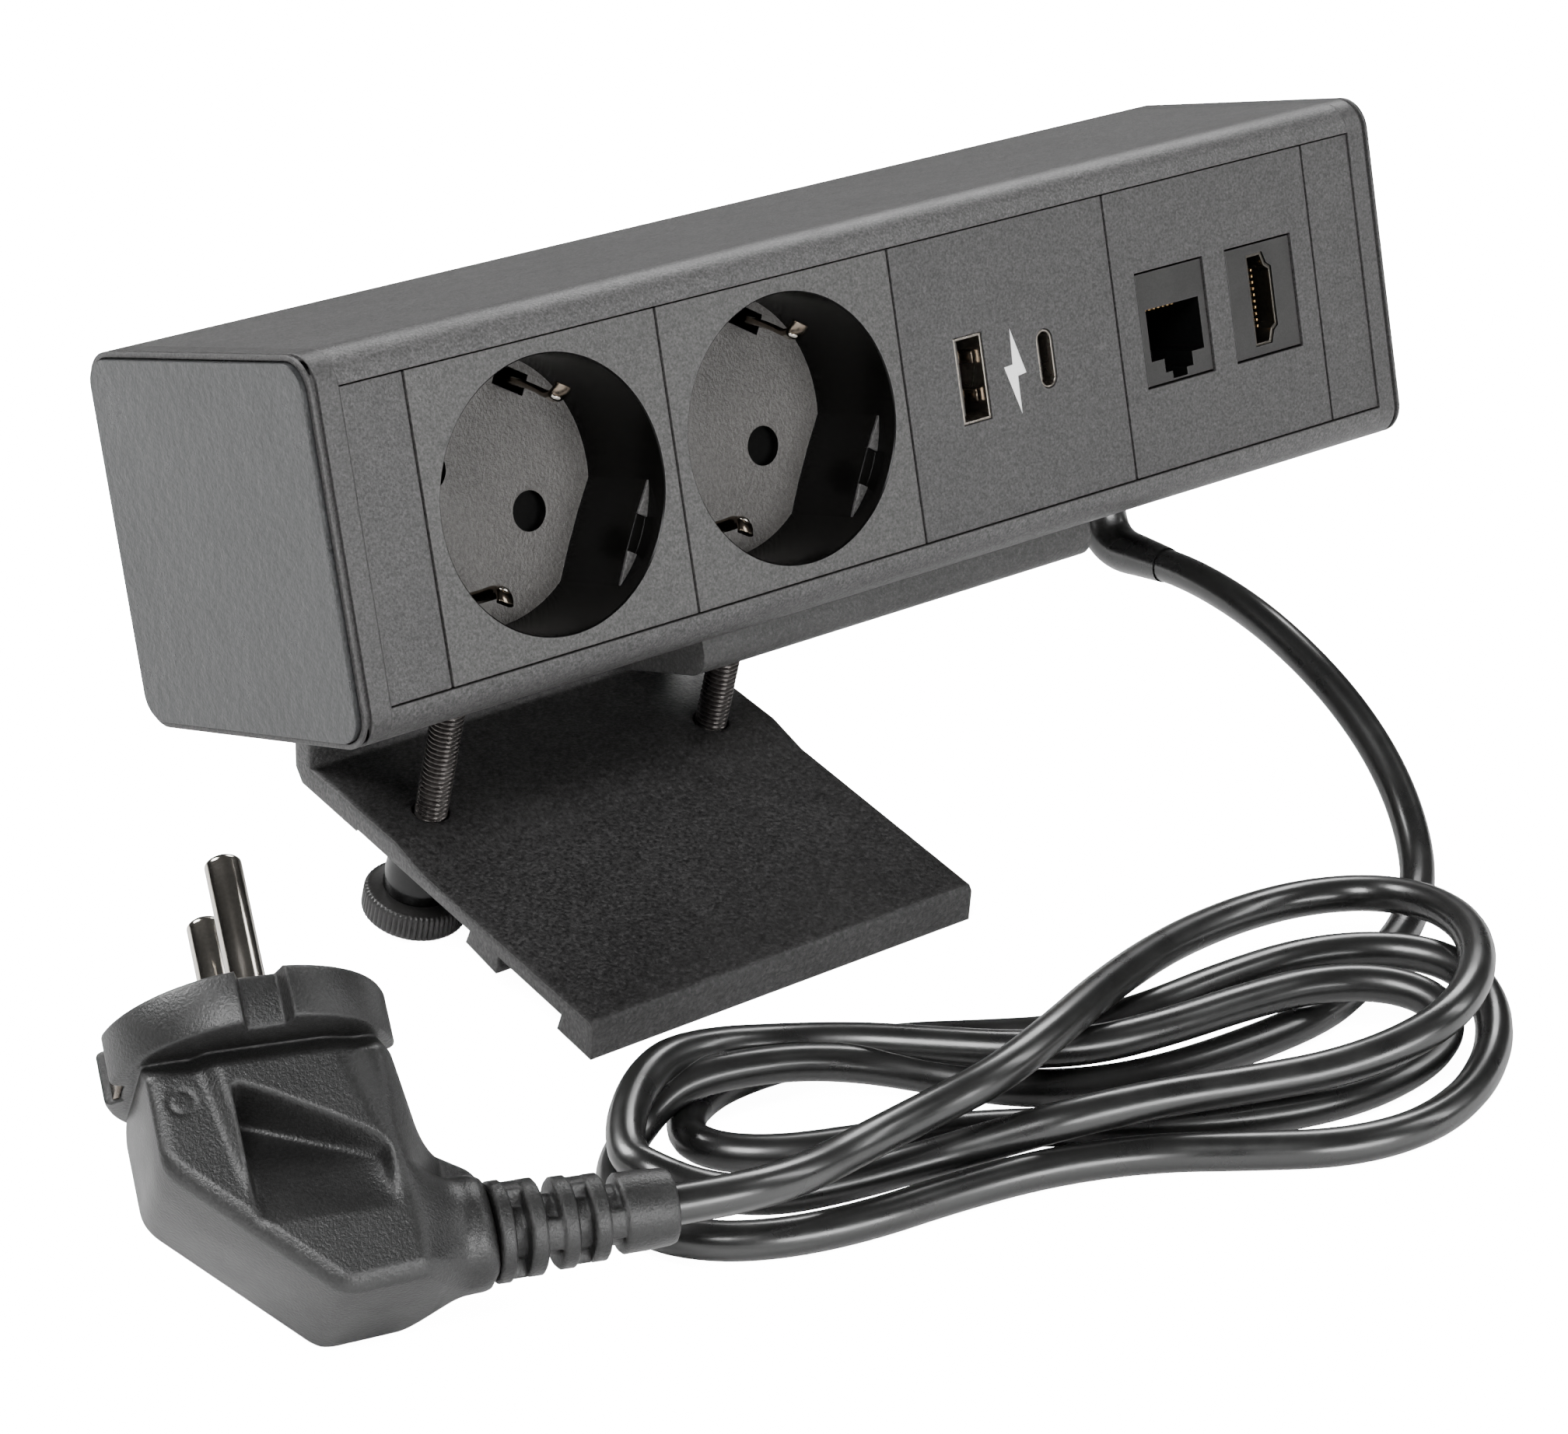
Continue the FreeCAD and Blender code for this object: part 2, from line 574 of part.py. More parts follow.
def usb_c_port():
    y = "Dims.face_inset+0.2+Dims.usb_c_deep/2"
    outer = slot_solid("usb_c_outer", "Dims.usb_c_wide", "Dims.usb_c_high", "Dims.usb_c_deep",
                       (USB_C_X, y, 0.0))
    inner = slot_solid("usb_c_inner", "Dims.usb_c_wide-2*Dims.usb_c_wall",
                       "Dims.usb_c_high-2*Dims.usb_c_wall", "Dims.usb_c_deep",
                       (USB_C_X, f"{y}-1", 0.0))
    finish("usb_c_shell", cut("usb_c_tube", outer, inner), at_module("usb"))
    tongue = box("usb_c_tongue_bar", (0.7, 6.8, 6.7), (USB_C_X, 5.5, 0.0))
    finish("usb_c_tongue", tongue, at_module("usb"))


def charger_electronics():
    board = box("charger_board_blank", (36.0, 1.6, 36.0), (0.0, 16.2, 0.0))
    finish("charger_board", board, at_module("usb"))
    transformer = box("charger_transformer", (14.0, 8.0, 12.0), (-8.0, 21.1, 8.0))
    capacitor = rod("charger_capacitor", 4.0, 16.0, (-14.0, 21.1, -9.0), "x")
    choke = rod("charger_choke", 4.5, 7.0, (11.0, 17.1, 8.0), "y")
    driver = box("charger_driver", (9.0, 1.6, 6.0), (11.0, 17.9, -8.0))
    finish("charger_components",
           group("charger_set", [transformer, capacitor, choke, driver]), at_module("usb"))


# ------------------------------------------------------------ the data module

RJ45_X, HDMI_X = -10.0, 10.2


def data_front():
    square = "Dims.module-Dims.module_gap"
    face = box("data_face", (square, 2.2, square), (0.0, "Dims.face_inset+1.1", 0.0))
    size = ("Dims.keystone_wide+Dims.keystone_gap", 6.0, "Dims.keystone_high+Dims.keystone_gap")
    windows = [box(f"data_window_{i}", size, (x, 1.0, 0.0))
               for i, x in enumerate((RJ45_X, HDMI_X))]
    finish("data_module_front", cut("data_front", face, *windows), at_module("data"))


def rj45():
    """A keystone jack: an opening with its latch notch, and eight sprung contacts."""
    y = "Dims.face_inset+0.3+Dims.keystone_deep/2"
    block = box("rj45_block", ("Dims.keystone_wide", "Dims.keystone_deep", "Dims.keystone_high"),
                (RJ45_X, y, 0.0))
    mouth = box("rj45_mouth", ("Dims.rj45_wide", "Dims.rj45_deep*2", "Dims.rj45_high"),
                (RJ45_X, 0.6, -1.0))
    step = box("rj45_step", (6.2, "Dims.rj45_deep*2-4", 3.0), (RJ45_X, -1.4, -5.8))
    notch = box("rj45_notch", (3.2, "Dims.rj45_deep*2-4", 3.4), (RJ45_X, -1.4, -6.8))
    finish("rj45_jack", cut("rj45_body", block, mouth, step, notch), at_module("data"))
    wires = [box(f"rj45_wire_{i}", (0.45, 9.0, 0.4), (RJ45_X + (i - 3.5) * 1.02, 8.6, 2.4))
             for i in range(8)]
    finish("rj45_contacts", group("rj45_wires", wires), at_module("data"))


def hdmi_outline(grow):
    """Half-width and half-height corners of the connector, with its two cut corners."""
    wide, high = S.hdmi_wide / 2 + grow, S.hdmi_high / 2 + grow
    return [(-wide, -high), (wide - 1.7, -high), (wide - 1.0, -high + 1.9),
            (wide, -high + 2.6), (wide, high - 2.6), (wide - 1.0, high - 1.9),
            (wide - 1.7, high), (-wide, high)]


def hdmi_prism(name, grow, y_from, y_to):
    body = doc.addObject("PartDesign::Body", name)
    sketch = outline(body, name + "_outline", "XZ_Plane", hdmi_outline(grow), -(y_from + y_to) / 2)
    pad = body.newObject("PartDesign::Pad", name + "_pad")
    pad.Profile = sketch
    pad.Midplane = True
    bind(pad, "Length", y_to - y_from)
    doc.recompute()
    body.Placement = Placement(Vector(HDMI_X, 0, 0), Rotation())
    return body


def hdmi():
    y = "Dims.face_inset+0.3+Dims.keystone_deep/2"
    block = box("hdmi_block", ("Dims.keystone_wide", "Dims.keystone_deep", "Dims.keystone_high"),
                (HDMI_X, y, 0.0))
    bay = hdmi_prism("hdmi_bay", 0.05, -1.0, S.hdmi_deep + 1.4)
    finish("hdmi_coupler", cut("hdmi_body", block, bay), at_module("data"))
    outer = hdmi_prism("hdmi_outer", 0.0, 0.8, S.hdmi_deep + 1.2)
    inner = hdmi_prism("hdmi_inner", -S.hdmi_wall, 0.0, S.hdmi_deep + 0.8)
    finish("hdmi_shell", cut("hdmi_tube", outer, inner), at_module("data"))
    tongue = box("hdmi_tongue_bar", (1.2, 9.6, 11.0), (HDMI_X - 0.6, 8.0, 0.0))
    finish("hdmi_tongue", tongue, at_module("data"))


# ---------------------------------------------------------------- the wiring

def bus_bars():
    """Three strips behind the modules, from the first socket to the terminal block."""
    for name, z, y in (("live", 7.0, 42.0), ("neutral", -7.0, 42.0), ("earth", 0.0, 46.0)):
        strip = box(f"{name}_strip", (124.0, 0.8, 5.0), (-18.0, y, z))
        finish(f"{name}_bus_bar", strip, HOUSING)


def terminal_block():
    """Each bar ends in the block, under one of its three screws."""
    block = box("terminal_body", (20.0, 12.0, 24.0), (54.2, 44.0, 0.0))
    wells = [rod(f"terminal_well_{i}", 2.1, 6.0, (54.2, 36.0, z), "y")
             for i, z in enumerate((-8.0, 0.0, 8.0))]
    finish("terminal_block", cut("terminal_cut", block, *wells), HOUSING)
    screws = [rod(f"terminal_screw_{i}", 2.0, 4.0, (54.2, 37.6, z), "y")
              for i, z in enumerate((-8.0, 0.0, 8.0))]
    finish("terminal_screws", group("terminal_set", screws), HOUSING)


INNER_LEAD_Z = -18.2


def cord_anchorage():
    """The gland in the housing's floor and the bar that grips the lead above it."""
    floor = "-Dims.housing_height/2"
    at = ("Dims.gland_x", "Dims.gland_y")
    stem = rod("gland_stem", "Dims.gland_outer/2-0.85", 6.0, (*at, f"{floor}-1"))
    flange = rod("gland_flange", "Dims.gland_flange/2", 2.0, (*at, f"{floor}-2"))
    head = rod("gland_head", "Dims.gland_flange/2-1", 1.6, (*at, f"{floor}+Dims.housing_wall+0.05"))
    bore = rod("gland_bore", "Dims.lead_dia/2+0.02", 12.0, (*at, f"{floor}-3"))
    mouth = rod("gland_mouth", "Dims.lead_dia/2+0.35", 4.0, (*at, f"{floor}+2.2"))
    gland = cut("gland_cut", fuse("gland_solid", stem, flange, head), bore, mouth)
    finish("cord_gland", gland, HOUSING)
    saddle_at = "Dims.gland_y+13.5"
    low = f"{floor}+Dims.housing_wall+0.05"
    block = box("saddle_block", (22.0, 7.0, 11.2), ("Dims.gland_x", saddle_at, f"{low}+5.6"))
    tunnel = rod("saddle_tunnel", "Dims.lead_dia/2+0.12", 12.0,
                 ("Dims.gland_x", f"{saddle_at}-6", INNER_LEAD_Z), "y")
    holes, screws = [], []
    for i, x in enumerate((-7.5, 7.5)):
        at = (f"Dims.gland_x+{x}", saddle_at)
        holes.append(rod(f"saddle_hole_{i}", 1.3, 14.0, (*at, -27.0)))
        shank = rod(f"saddle_shank_{i}", 1.25, 10.6, (*at, f"{low}+0.6"))
        head = rod(f"saddle_head_{i}", 2.4, 1.5, (*at, f"{low}+11.2"))
        screws.append(fuse(f"saddle_screw_{i}", shank, head))
    finish("cord_saddle", cut("saddle_cut", block, tunnel, *holes), HOUSING)
    finish("cord_saddle_screws", group("saddle_screws", screws), HOUSING)


def inner_lead():
    """The stretch of lead inside the housing, from the gland up and through the saddle."""
    start = Vector(S.gland_x, S.gland_y, -S.housing_height / 2 - 2.0)
    rise = INNER_LEAD_Z - start.z
    route = [start, start + Vector(0, 0, 8.0), start + Vector(0, 4.4, rise),
             start + Vector(0, 18.5, rise + 0.05)]
    solid = doc.addObject("Part::Feature", "inner_lead_tube")
    solid.Shape = tube_along(route, "inner lead")
    finish("inner_lead", solid, HOUSING)


# ---------------------------------------------------------------- the clamp

def block_screw_places():
    return [(-33.0, 14.0), (33.0, 14.0), (33.0, 38.0), (3.0, 38.0)]


def mounting_block():
    """The block under the housing's floor, with a window for the inner clamp screw."""
    front, high = "Dims.block_front", "-Dims.housing_height/2"
    low = f"{high}-Dims.block_high"
    back = "Dims.block_front+Dims.block_deep"
    body, pad = profile_body("mounting_block", [(front, high), (front, low), (back, low),
                                                (back, high)], "Dims.block_long")
    low_z = -S.housing_height / 2 - S.block_high
    soften(body, "block_edges", "Dims.block_corner",
           lambda e: runs_along(X_AXIS)(e) and abs(e.CenterOfMass.z - low_z) < 0.1)
    x = screw_places()[1]
    window = [(x - 3.2, 20.4), (x + 3.2, 20.4), (x + 3.2, 34.6), (x - 3.2, 34.6)]
    pocket(body, "block_window", "XY_Plane", window, 20.0, low_z + 2.0)
    drills = []
    for i, (sx, sy) in enumerate(block_screw_places()):
        drills.append(rod(f"block_clear_{i}", 1.7, 12.0, (sx, sy, -36.0)))
        drills.append(rod(f"block_sink_{i}", 3.0, 3.0, (sx, sy, low_z - 0.5)))
    finish("mounting_block", cut("block_cut", body, *drills), HOUSING)
    screws = [fuse(f"block_screw_{i}",
                   rod(f"block_screw_shank_{i}", 1.25, 8.2, (sx, sy, low_z + 1.0)),
                   rod(f"block_screw_head_{i}", 2.8, 1.8, (sx, sy, low_z + 0.5)))
              for i, (sx, sy) in enumerate(block_screw_places())]
    finish("mounting_block_screws", group("block_screws", screws), HOUSING)


def tilt_bar():
    """The round bar inside the housing's floor that both clamp screws thread into."""
    low, high = screw_places()[0] - 6.2, screw_places()[1] + 6.2
    centre = pivot()
    long = high - low + 2 * S.bearing_wide
    bar = rod("tilt_bar_blank", "Dims.bar_dia/2", long,
              (low - S.bearing_wide, centre.y, centre.z), "x")
    cutters = [rod(f"tilt_bar_hole_{i}", "Dims.screw_dia/2+Dims.screw_fit", 20.0, (x, 0.0, -10.0))
               for i, x in enumerate(screw_places())]
    drill = group("tilt_bar_holes", cutters)
    drill.Placement = Placement(centre, Rotation(X_AXIS, S.clamp_turn))
    finish("tilt_bar", cut("tilt_bar_cut", bar, drill), HOUSING)
    bearings = []
    for side, x in (("left", low - S.bearing_wide / 2 - S.bearing_gap),
                    ("right", high + S.bearing_wide / 2 + S.bearing_gap)):
        block = box(f"{side}_bearing_block", ("Dims.bearing_wide", 10.4, 9.2),
                    (x, 24.3, -21.05))
        bore = rod(f"{side}_bearing_bore", "Dims.bar_dia/2+Dims.bar_fit", 12.0,
                   (x - S.bearing_wide, centre.y, centre.z), "x")
        bearings.append(cut(f"{side}_bearing_cut", block, bore))
    finish("tilt_bar_bearings", group("bearing_pair", bearings), HOUSING)


def clamp_bracket():
    """The bent plate: an upright heel, a stepped plate and two ribs under its front."""
    under, rib = -3.4, -6.1
    points = [(0.0, 0.0), (2.5, 11.3), (6.0, 10.5), (3.9, 1.0), (3.2, -1.6), (1.2, under),
              (-12.4, under), (-12.8, under + 0.4), (-40.0, under + 0.3), (-39.6, -5.4),
              (-47.0, rib), (-46.6, under + 0.2), (-61.5, under), (-61.2, rib),
              (-69.0, -6.3), (-68.2, -1.5), (-67.5, -0.8), (-28.4, -0.8), (-21.2, 0.45)]
    body, _ = profile_body("clamp_bracket", points, "Dims.bracket_long", S.bracket_x)
    drills = [rod(f"bracket_hole_{i}", "Dims.screw_hole/2", 12.0, (x, "Dims.screw_y", -6.0))
              for i, x in enumerate(screw_places())]
    finish("clamp_bracket", cut("bracket_cut", body, *drills), CLAMP)


def clamp_screws():
    """Each thumb screw is a threaded rod with a pressed collar and a round knob."""
    top = S.bar_height + S.screw_past_bar
    seat = -3.35
    knob_low = seat - S.neck_high - S.collar_high - S.knob_high
    for i, side in enumerate(("left", "right")):
        x = screw_places()[i]
        tip = 0.8
        shank = rod(f"{side}_shank", "Dims.screw_dia/2", top - tip - knob_low - 1.5,
                    (x, "Dims.screw_y", knob_low + 1.5))
        point = cone(f"{side}_tip", "Dims.screw_dia/2", "Dims.screw_dia/2-0.6", tip,
                     (x, "Dims.screw_y", top - tip))
        finish(f"{side}_clamp_screw", fuse(f"{side}_threaded", shank, point), CLAMP)
        neck = cone(f"{side}_neck", "Dims.collar_dia/2", "Dims.neck_dia/2", "Dims.neck_high",
                    (x, "Dims.screw_y", seat - S.neck_high))
        bush = rod(f"{side}_bush", "Dims.collar_dia/2", "Dims.collar_high",
                   (x, "Dims.screw_y", seat - S.neck_high - S.collar_high))
        bore = rod(f"{side}_collar_bore", "Dims.screw_dia/2", 14.0, (x, "Dims.screw_y", -14.2))
        finish(f"{side}_collar", cut(f"{side}_collar_cut", fuse(f"{side}_collar_solid", neck, bush),
                                     bore), CLAMP)
        rim = rod(f"{side}_rim", "Dims.knob_dia/2", "Dims.knob_high", (x, "Dims.screw_y", knob_low))
        soft = rounded(f"{side}_rim_soft", rim, 0.5, lambda e: e.Curve.TypeId == "Part::GeomCircle")
        well = rod(f"{side}_rim_bore", "Dims.screw_dia/2", 4.0, (x, "Dims.screw_y", knob_low + 1.5))
        finish(f"{side}_knob", cut(f"{side}_knob_cut", soft, well), CLAMP)


# ------------------------------------------------------------ the mains lead

def tube_along(route, label):
    """A round tube along straight runs joined by tangent arcs."""
    edges, here, length, radii = [], route[0], 0.0, []
    for before, corner, after in zip(route, route[1:], route[2:]):
        back, ahead = before - corner, after - corner
        turn = math.pi - back.getAngle(ahead)
        reach = 0.45 * min(back.Length, ahead.Length)
        radius = reach / math.tan(turn / 2)
        radii.append(radius)
        back, ahead = back.normalize(), ahead.normalize()
        first, last = corner + back * reach, corner + ahead * reach
        inward = (back + ahead).normalize()
        middle = corner + inward * (math.hypot(radius, reach) - radius)
        edges.append(Part.LineSegment(here, first).toShape())
        edges.append(Part.Arc(first, middle, last).toShape())
        length += (first - here).Length + radius * turn
        here = last
    edges.append(Part.LineSegment(here, route[-1]).toShape())
    length += (route[-1] - here).Length
    path = Part.Wire(edges)
    section = Part.Wire(Part.Circle(route[0], route[1] - route[0], S.lead_dia / 2).toShape())
    solid = path.makePipeShell([section], True, False)
    expected = math.pi * (S.lead_dia / 2) ** 2 * length
    print(f"{label}: length {length:.1f}, volume ratio {solid.Volume / expected:.4f}, radii",
          [round(r, 1) for r in radii])
    return solid


def to_world(points):
    return [Vector(x, y + STAND_Y, z) for x, y, z in points]


def lead_to_hank():
    """From the gland, forward under the housing and down to the hank."""
    gland = Vector(S.gland_x, S.gland_y, -S.housing_height / 2 - 2.0)
    outlet = HOUSING.multVec(gland)
    down = HOUSING.Rotation.multVec(Vector(0, 0, -1))
    route = [outlet, outlet + down * 4.6] + to_world([
        (61.3, 14.6, 33.4), (60.8, 7.6, 33.9), (60.0, -5.0, 34.2), (58.8, -20.0, 31.8),
        (58.0, -34.0, 26.4), (57.2, -44.0, 20.4), (55.4, -52.0, 14.4), (51.6, -59.2, 9.0),
        (45.6, -65.6, 5.4), (37.4, -70.8, 3.3), (27.5, -75.2, 3.0)])
    solid = doc.addObject("Part::Feature", "lead_tube")
    solid.Shape = tube_along(route, "lead")
    finish("power_cord_lead", solid, Placement())


HANK_TURNS = [(-114.0, -68.0), (-108.0, -54.0), (-93.0, -44.0), (-72.0, -40.0), (-50.0, -43.5),
              (-36.0, -57.0), (-24.0, -65.0), (8.0, -59.5), (25.0, -62.0), (34.0, -72.0),
              (33.0, -86.0), (25.0, -103.0), (6.0, -116.0), (-12.0, -119.5), (-26.0, -116.0),
              (-46.0, -101.0), (-62.0, -94.0), (-90.0, -89.5), (-106.0, -83.0)]
HANK_TOP_STRAND = [(-98.0, -88.8), (-98.0, -78.8), (-70.0, -76.0), (-56.0, -76.5), (-10.0, -61.0),
                   (22.0, -60.8), (33.0, -71.0), (32.0, -84.0), (16.0, -107.5), (1.0, -111.5),
                   (0.0, -104.0), (12.0, -99.0), (24.0, -80.0), (20.0, -70.5), (-8.0, -70.0),
                   (-46.0, -85.5), (-60.0, -88.0)]
HANK_HIGH = 11.6
HANK_TOP_HIGH = 17.8
ABOVE_DESK = 0.05


def slab(points, high, corner):
    """An upright block with rounded corners over a closed outline on the desk."""
    ring = to_world([(x, y, ABOVE_DESK) for x, y in points])
    blank = Part.Face(Part.makePolygon(ring + ring[:1])).extrude(Vector(0, 0, high))
    return blank.makeFillet(corner, [e for e in blank.Edges if runs_along(Z_AXIS)(e)])


def hank():
    """The outer shape of the bundled turns, with the one strand that crosses on top of them."""
    turns = slab(HANK_TURNS, HANK_HIGH, 5.0)
    strand = slab(HANK_TOP_STRAND, HANK_TOP_HIGH, 1.5)
    solid = doc.addObject("Part::Feature", "hank_shape")
    solid.Shape = turns.fuse(strand).removeSplitter()
    finish("power_cord_hank", solid, Placement())


def plug_frame():
    """The plug's own frame: pins up along Z, lead along X, origin on its face."""
    at = Vector(-153.3, -41.1 + STAND_Y, 35.65)
    heading, lean = Rotation(Z_AXIS, -S.plug_heading), Rotation(X_AXIS, -S.plug_turn)
    return Placement(at, heading.multiply(lean))


def plug():
    """An angled plug lying on one side of its body, with its pins tilted up."""
    frame = plug_frame()
    disc = rod("plug_disc", "Dims.plug_disc/2", "Dims.plug_disc_high",
               (0.0, 0.0, "-Dims.plug_disc_high"))
    keyways = [box(f"plug_keyway_{i}", (6.2, 4.0, 16.0), (0.0, sign * 17.8, 0.0))
               for i, sign in enumerate((-1, 1))]
    recesses = [box(f"plug_earth_recess_{i}", (3.6, 5.4, 16.0), (sign * 18.2, 0.0, 0.0))
                for i, sign in enumerate((-1, 1))]
    face = cut("plug_face", disc, *keyways, *recesses)
    shoulder = [(-15.2, -7.0), (15.6, -7.0), (18.6, -20.4), (25.5, -24.4), (25.5, -39.6),
                (3.7, -41.0), (-15.2, -22.0)]
    body = doc.addObject("PartDesign::Body", "plug_shell")
    sketch = outline(body, "plug_shell_outline", "XZ_Plane", shoulder)
    pad = body.newObject("PartDesign::Pad", "plug_shell_pad")
    pad.Profile = sketch
    pad.Midplane = True
    bind(pad, "Length", 24.0)
    doc.recompute()
    soften(body, "plug_shell_soft", 3.0, lambda e: abs(abs(e.CenterOfMass.y) - 12.0) < 0.1
           and e.CenterOfMass.z < -8.0)
    finish("plug_body", fuse("plug_solid", face, body), frame)
    pins = [rod(f"plug_pin_{i}", "Dims.plug_pin/2", "Dims.plug_pin_long",
                (0.0, f"{sign}*Dims.pin_spacing/2", 0.0)) for i, sign in enumerate((-1, 1))]
    finish("plug_pins", group("plug_pin_set", pins), frame)
    strips = [box(f"plug_earth_{i}", (0.8, 4.6, 6.8), (sign * 16.85, 0.0, -3.5))
              for i, sign in enumerate((-1, 1))]
    finish("plug_earth_contacts", group("plug_earth_set", strips), frame)
    relief = cone("plug_relief_cone", 6.6, 4.9, "Dims.relief_long",
                  ("Dims.relief_start", 0.0, "-Dims.relief_height"), "x")
    bore = rod("plug_relief_bore", "Dims.lead_dia/2+0.02", 8.0,
               ("Dims.relief_start+Dims.relief_long-8", 0.0, "-Dims.relief_height"), "x")
    finish("plug_strain_relief", cut("plug_relief_cut", relief, bore), frame)


def lead_to_plug():
    """From the hank back to the plug's strain relief."""
    inside = S.relief_start + S.relief_long - 7.9
    mouth = [plug_frame().multVec(Vector(inside + past, 0.0, -S.relief_height))
             for past in (0.0, 14.0)]
    route = mouth + to_world([(-98.0, -85.6, 12.6), (-85.5, -82.0, 11.0)])
    solid = doc.addObject("Part::Feature", "tail_tube")
    solid.Shape = tube_along(route, "tail")
    finish("power_cord_tail", solid, Placement())


# ---------------------------------------------------------------- build it all

def build():
    drilled_shell()
    end_caps()
    end_cap_screws()
    filler_strips()
    for key in ("socket_1", "socket_2"):
        socket_front(key)
        socket_rear(key)
        socket_contacts(key)
        socket_shutter(key)
        earth_clip(key)
    usb_front()
    charge_symbol()
    usb_module_box()
    usb_a_port()
    usb_c_port()
    charger_electronics()
    data_front()
    rj45()
    hdmi()
    bus_bars()
    terminal_block()
    cord_anchorage()
    inner_lead()
    mounting_block()
    tilt_bar()
    clamp_bracket()
    clamp_screws()
    lead_to_hank()
    hank()
    plug()
    lead_to_plug()


def check():
    for thing in doc.Objects:
        if "Invalid" in thing.State or "Error" in thing.State:
            raise ValueError(f"{thing.Name} failed: {thing.State}")
    for node, thing in PARTS.items():
        if thing.Shape.isNull() or not thing.Shape.isValid() or not thing.Shape.Solids:
            raise ValueError(f"{node} has no valid solid")


build()
doc.recompute()
check()
os.makedirs("parts", exist_ok=True)
for node, thing in PARTS.items():
    thing.Shape.exportStep(f"parts/{node}.step")
print(len(PARTS), "nodes")
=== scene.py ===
"""Looks for the desk power strip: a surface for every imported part, and detailed pieces for the
mains cord, its plug, the clamp's screws and knobs, and the metal inside the sockets and ports.
Lengths are in millimetres in each piece's own frame, and turn into metres with its mesh."""

import json
import math

import bmesh
import bpy
from mathutils import Matrix, Vector


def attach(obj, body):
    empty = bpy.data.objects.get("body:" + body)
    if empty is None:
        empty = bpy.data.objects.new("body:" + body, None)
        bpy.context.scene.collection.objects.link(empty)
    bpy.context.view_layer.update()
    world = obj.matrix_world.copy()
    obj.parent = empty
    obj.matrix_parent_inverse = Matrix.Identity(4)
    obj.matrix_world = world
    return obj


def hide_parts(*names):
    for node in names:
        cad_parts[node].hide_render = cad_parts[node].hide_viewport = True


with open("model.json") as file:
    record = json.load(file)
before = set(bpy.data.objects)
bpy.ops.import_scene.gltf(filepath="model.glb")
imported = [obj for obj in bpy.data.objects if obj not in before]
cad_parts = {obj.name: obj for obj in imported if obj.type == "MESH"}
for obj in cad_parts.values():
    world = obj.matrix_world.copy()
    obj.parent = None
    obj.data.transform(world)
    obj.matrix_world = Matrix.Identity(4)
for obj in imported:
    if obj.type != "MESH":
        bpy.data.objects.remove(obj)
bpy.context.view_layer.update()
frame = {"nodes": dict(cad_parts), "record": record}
NODES = frame["nodes"]
MM = 0.001

# ------------------------------------------------------------------ frames, in millimetres

STAND_Y, STAND_Z = -17.79, 75.84
STAND_TURN, CLAMP_TURN = 13.0, 28.2
PLUG_TURN, PLUG_HEADING = 47.6, 23.0
PLUG_AT = Vector((-153.3, -41.1 + STAND_Y, 35.65))
PIVOT = Vector((0.0, 23.9, -21.5))
SCREW_Y, BAR_HEIGHT = -17.24, 30.9
SCREW_X = {"left": -70.4, "right": -15.6}
MODULE_X = {"socket_1": -67.5, "socket_2": -22.5, "usb": 22.5, "data": 67.5}


def turn_x(degrees):
    return Matrix.Rotation(math.radians(degrees), 4, "X")


HOUSING = Matrix.Translation((0, STAND_Y, STAND_Z)) @ turn_x(-STAND_TURN)
BRACKET_CORNER = PIVOT - turn_x(CLAMP_TURN) @ Vector((0.0, SCREW_Y, BAR_HEIGHT))
CLAMP = HOUSING @ Matrix.Translation(BRACKET_CORNER) @ turn_x(CLAMP_TURN)
PLUG = (Matrix.Translation(PLUG_AT)
        @ Matrix.Rotation(math.radians(-PLUG_HEADING), 4, "Z") @ turn_x(-PLUG_TURN))
RELIEF_END, RELIEF_Z = 49.5, -32.4
SOCKETS = ("socket_1", "socket_2")


def module_frame(key, turned=0.0):
    """The middle of a module's face, Y into the housing; sockets are turned in their module."""
    return (HOUSING @ Matrix.Translation((MODULE_X[key], 0, 0))
            @ Matrix.Rotation(math.radians(turned), 4, "Y"))


# ------------------------------------------------------------------ the camera

CAMERA_AT = Vector((-473.78, -516.48, 301.33))
CAMERA_RIGHT, CAMERA_BACK = Vector((0.745, -0.667, 0.0083)), Vector((-0.6211, -0.689, 0.3735))
SENSOR, LENS = 36.0, 111.57
NEAREST, FARTHEST = 0.01, 20.0


def make_camera():
    data = bpy.data.cameras.new("camera")
    data.sensor_width, data.lens = SENSOR, LENS
    data.clip_start, data.clip_end = NEAREST, FARTHEST
    camera = bpy.data.objects.new("camera", data)
    bpy.context.scene.collection.objects.link(camera)
    right, back = CAMERA_RIGHT.normalized(), CAMERA_BACK.normalized()
    up = back.cross(right).normalized()
    turn = Matrix((up.cross(back), up, back)).transposed()
    camera.matrix_world = Matrix.Translation(CAMERA_AT * MM) @ turn.to_4x4()
    bpy.context.scene.camera = camera


make_camera()


# ------------------------------------------------------------------ the mains cord

CORD_DIAMETER = 5.4
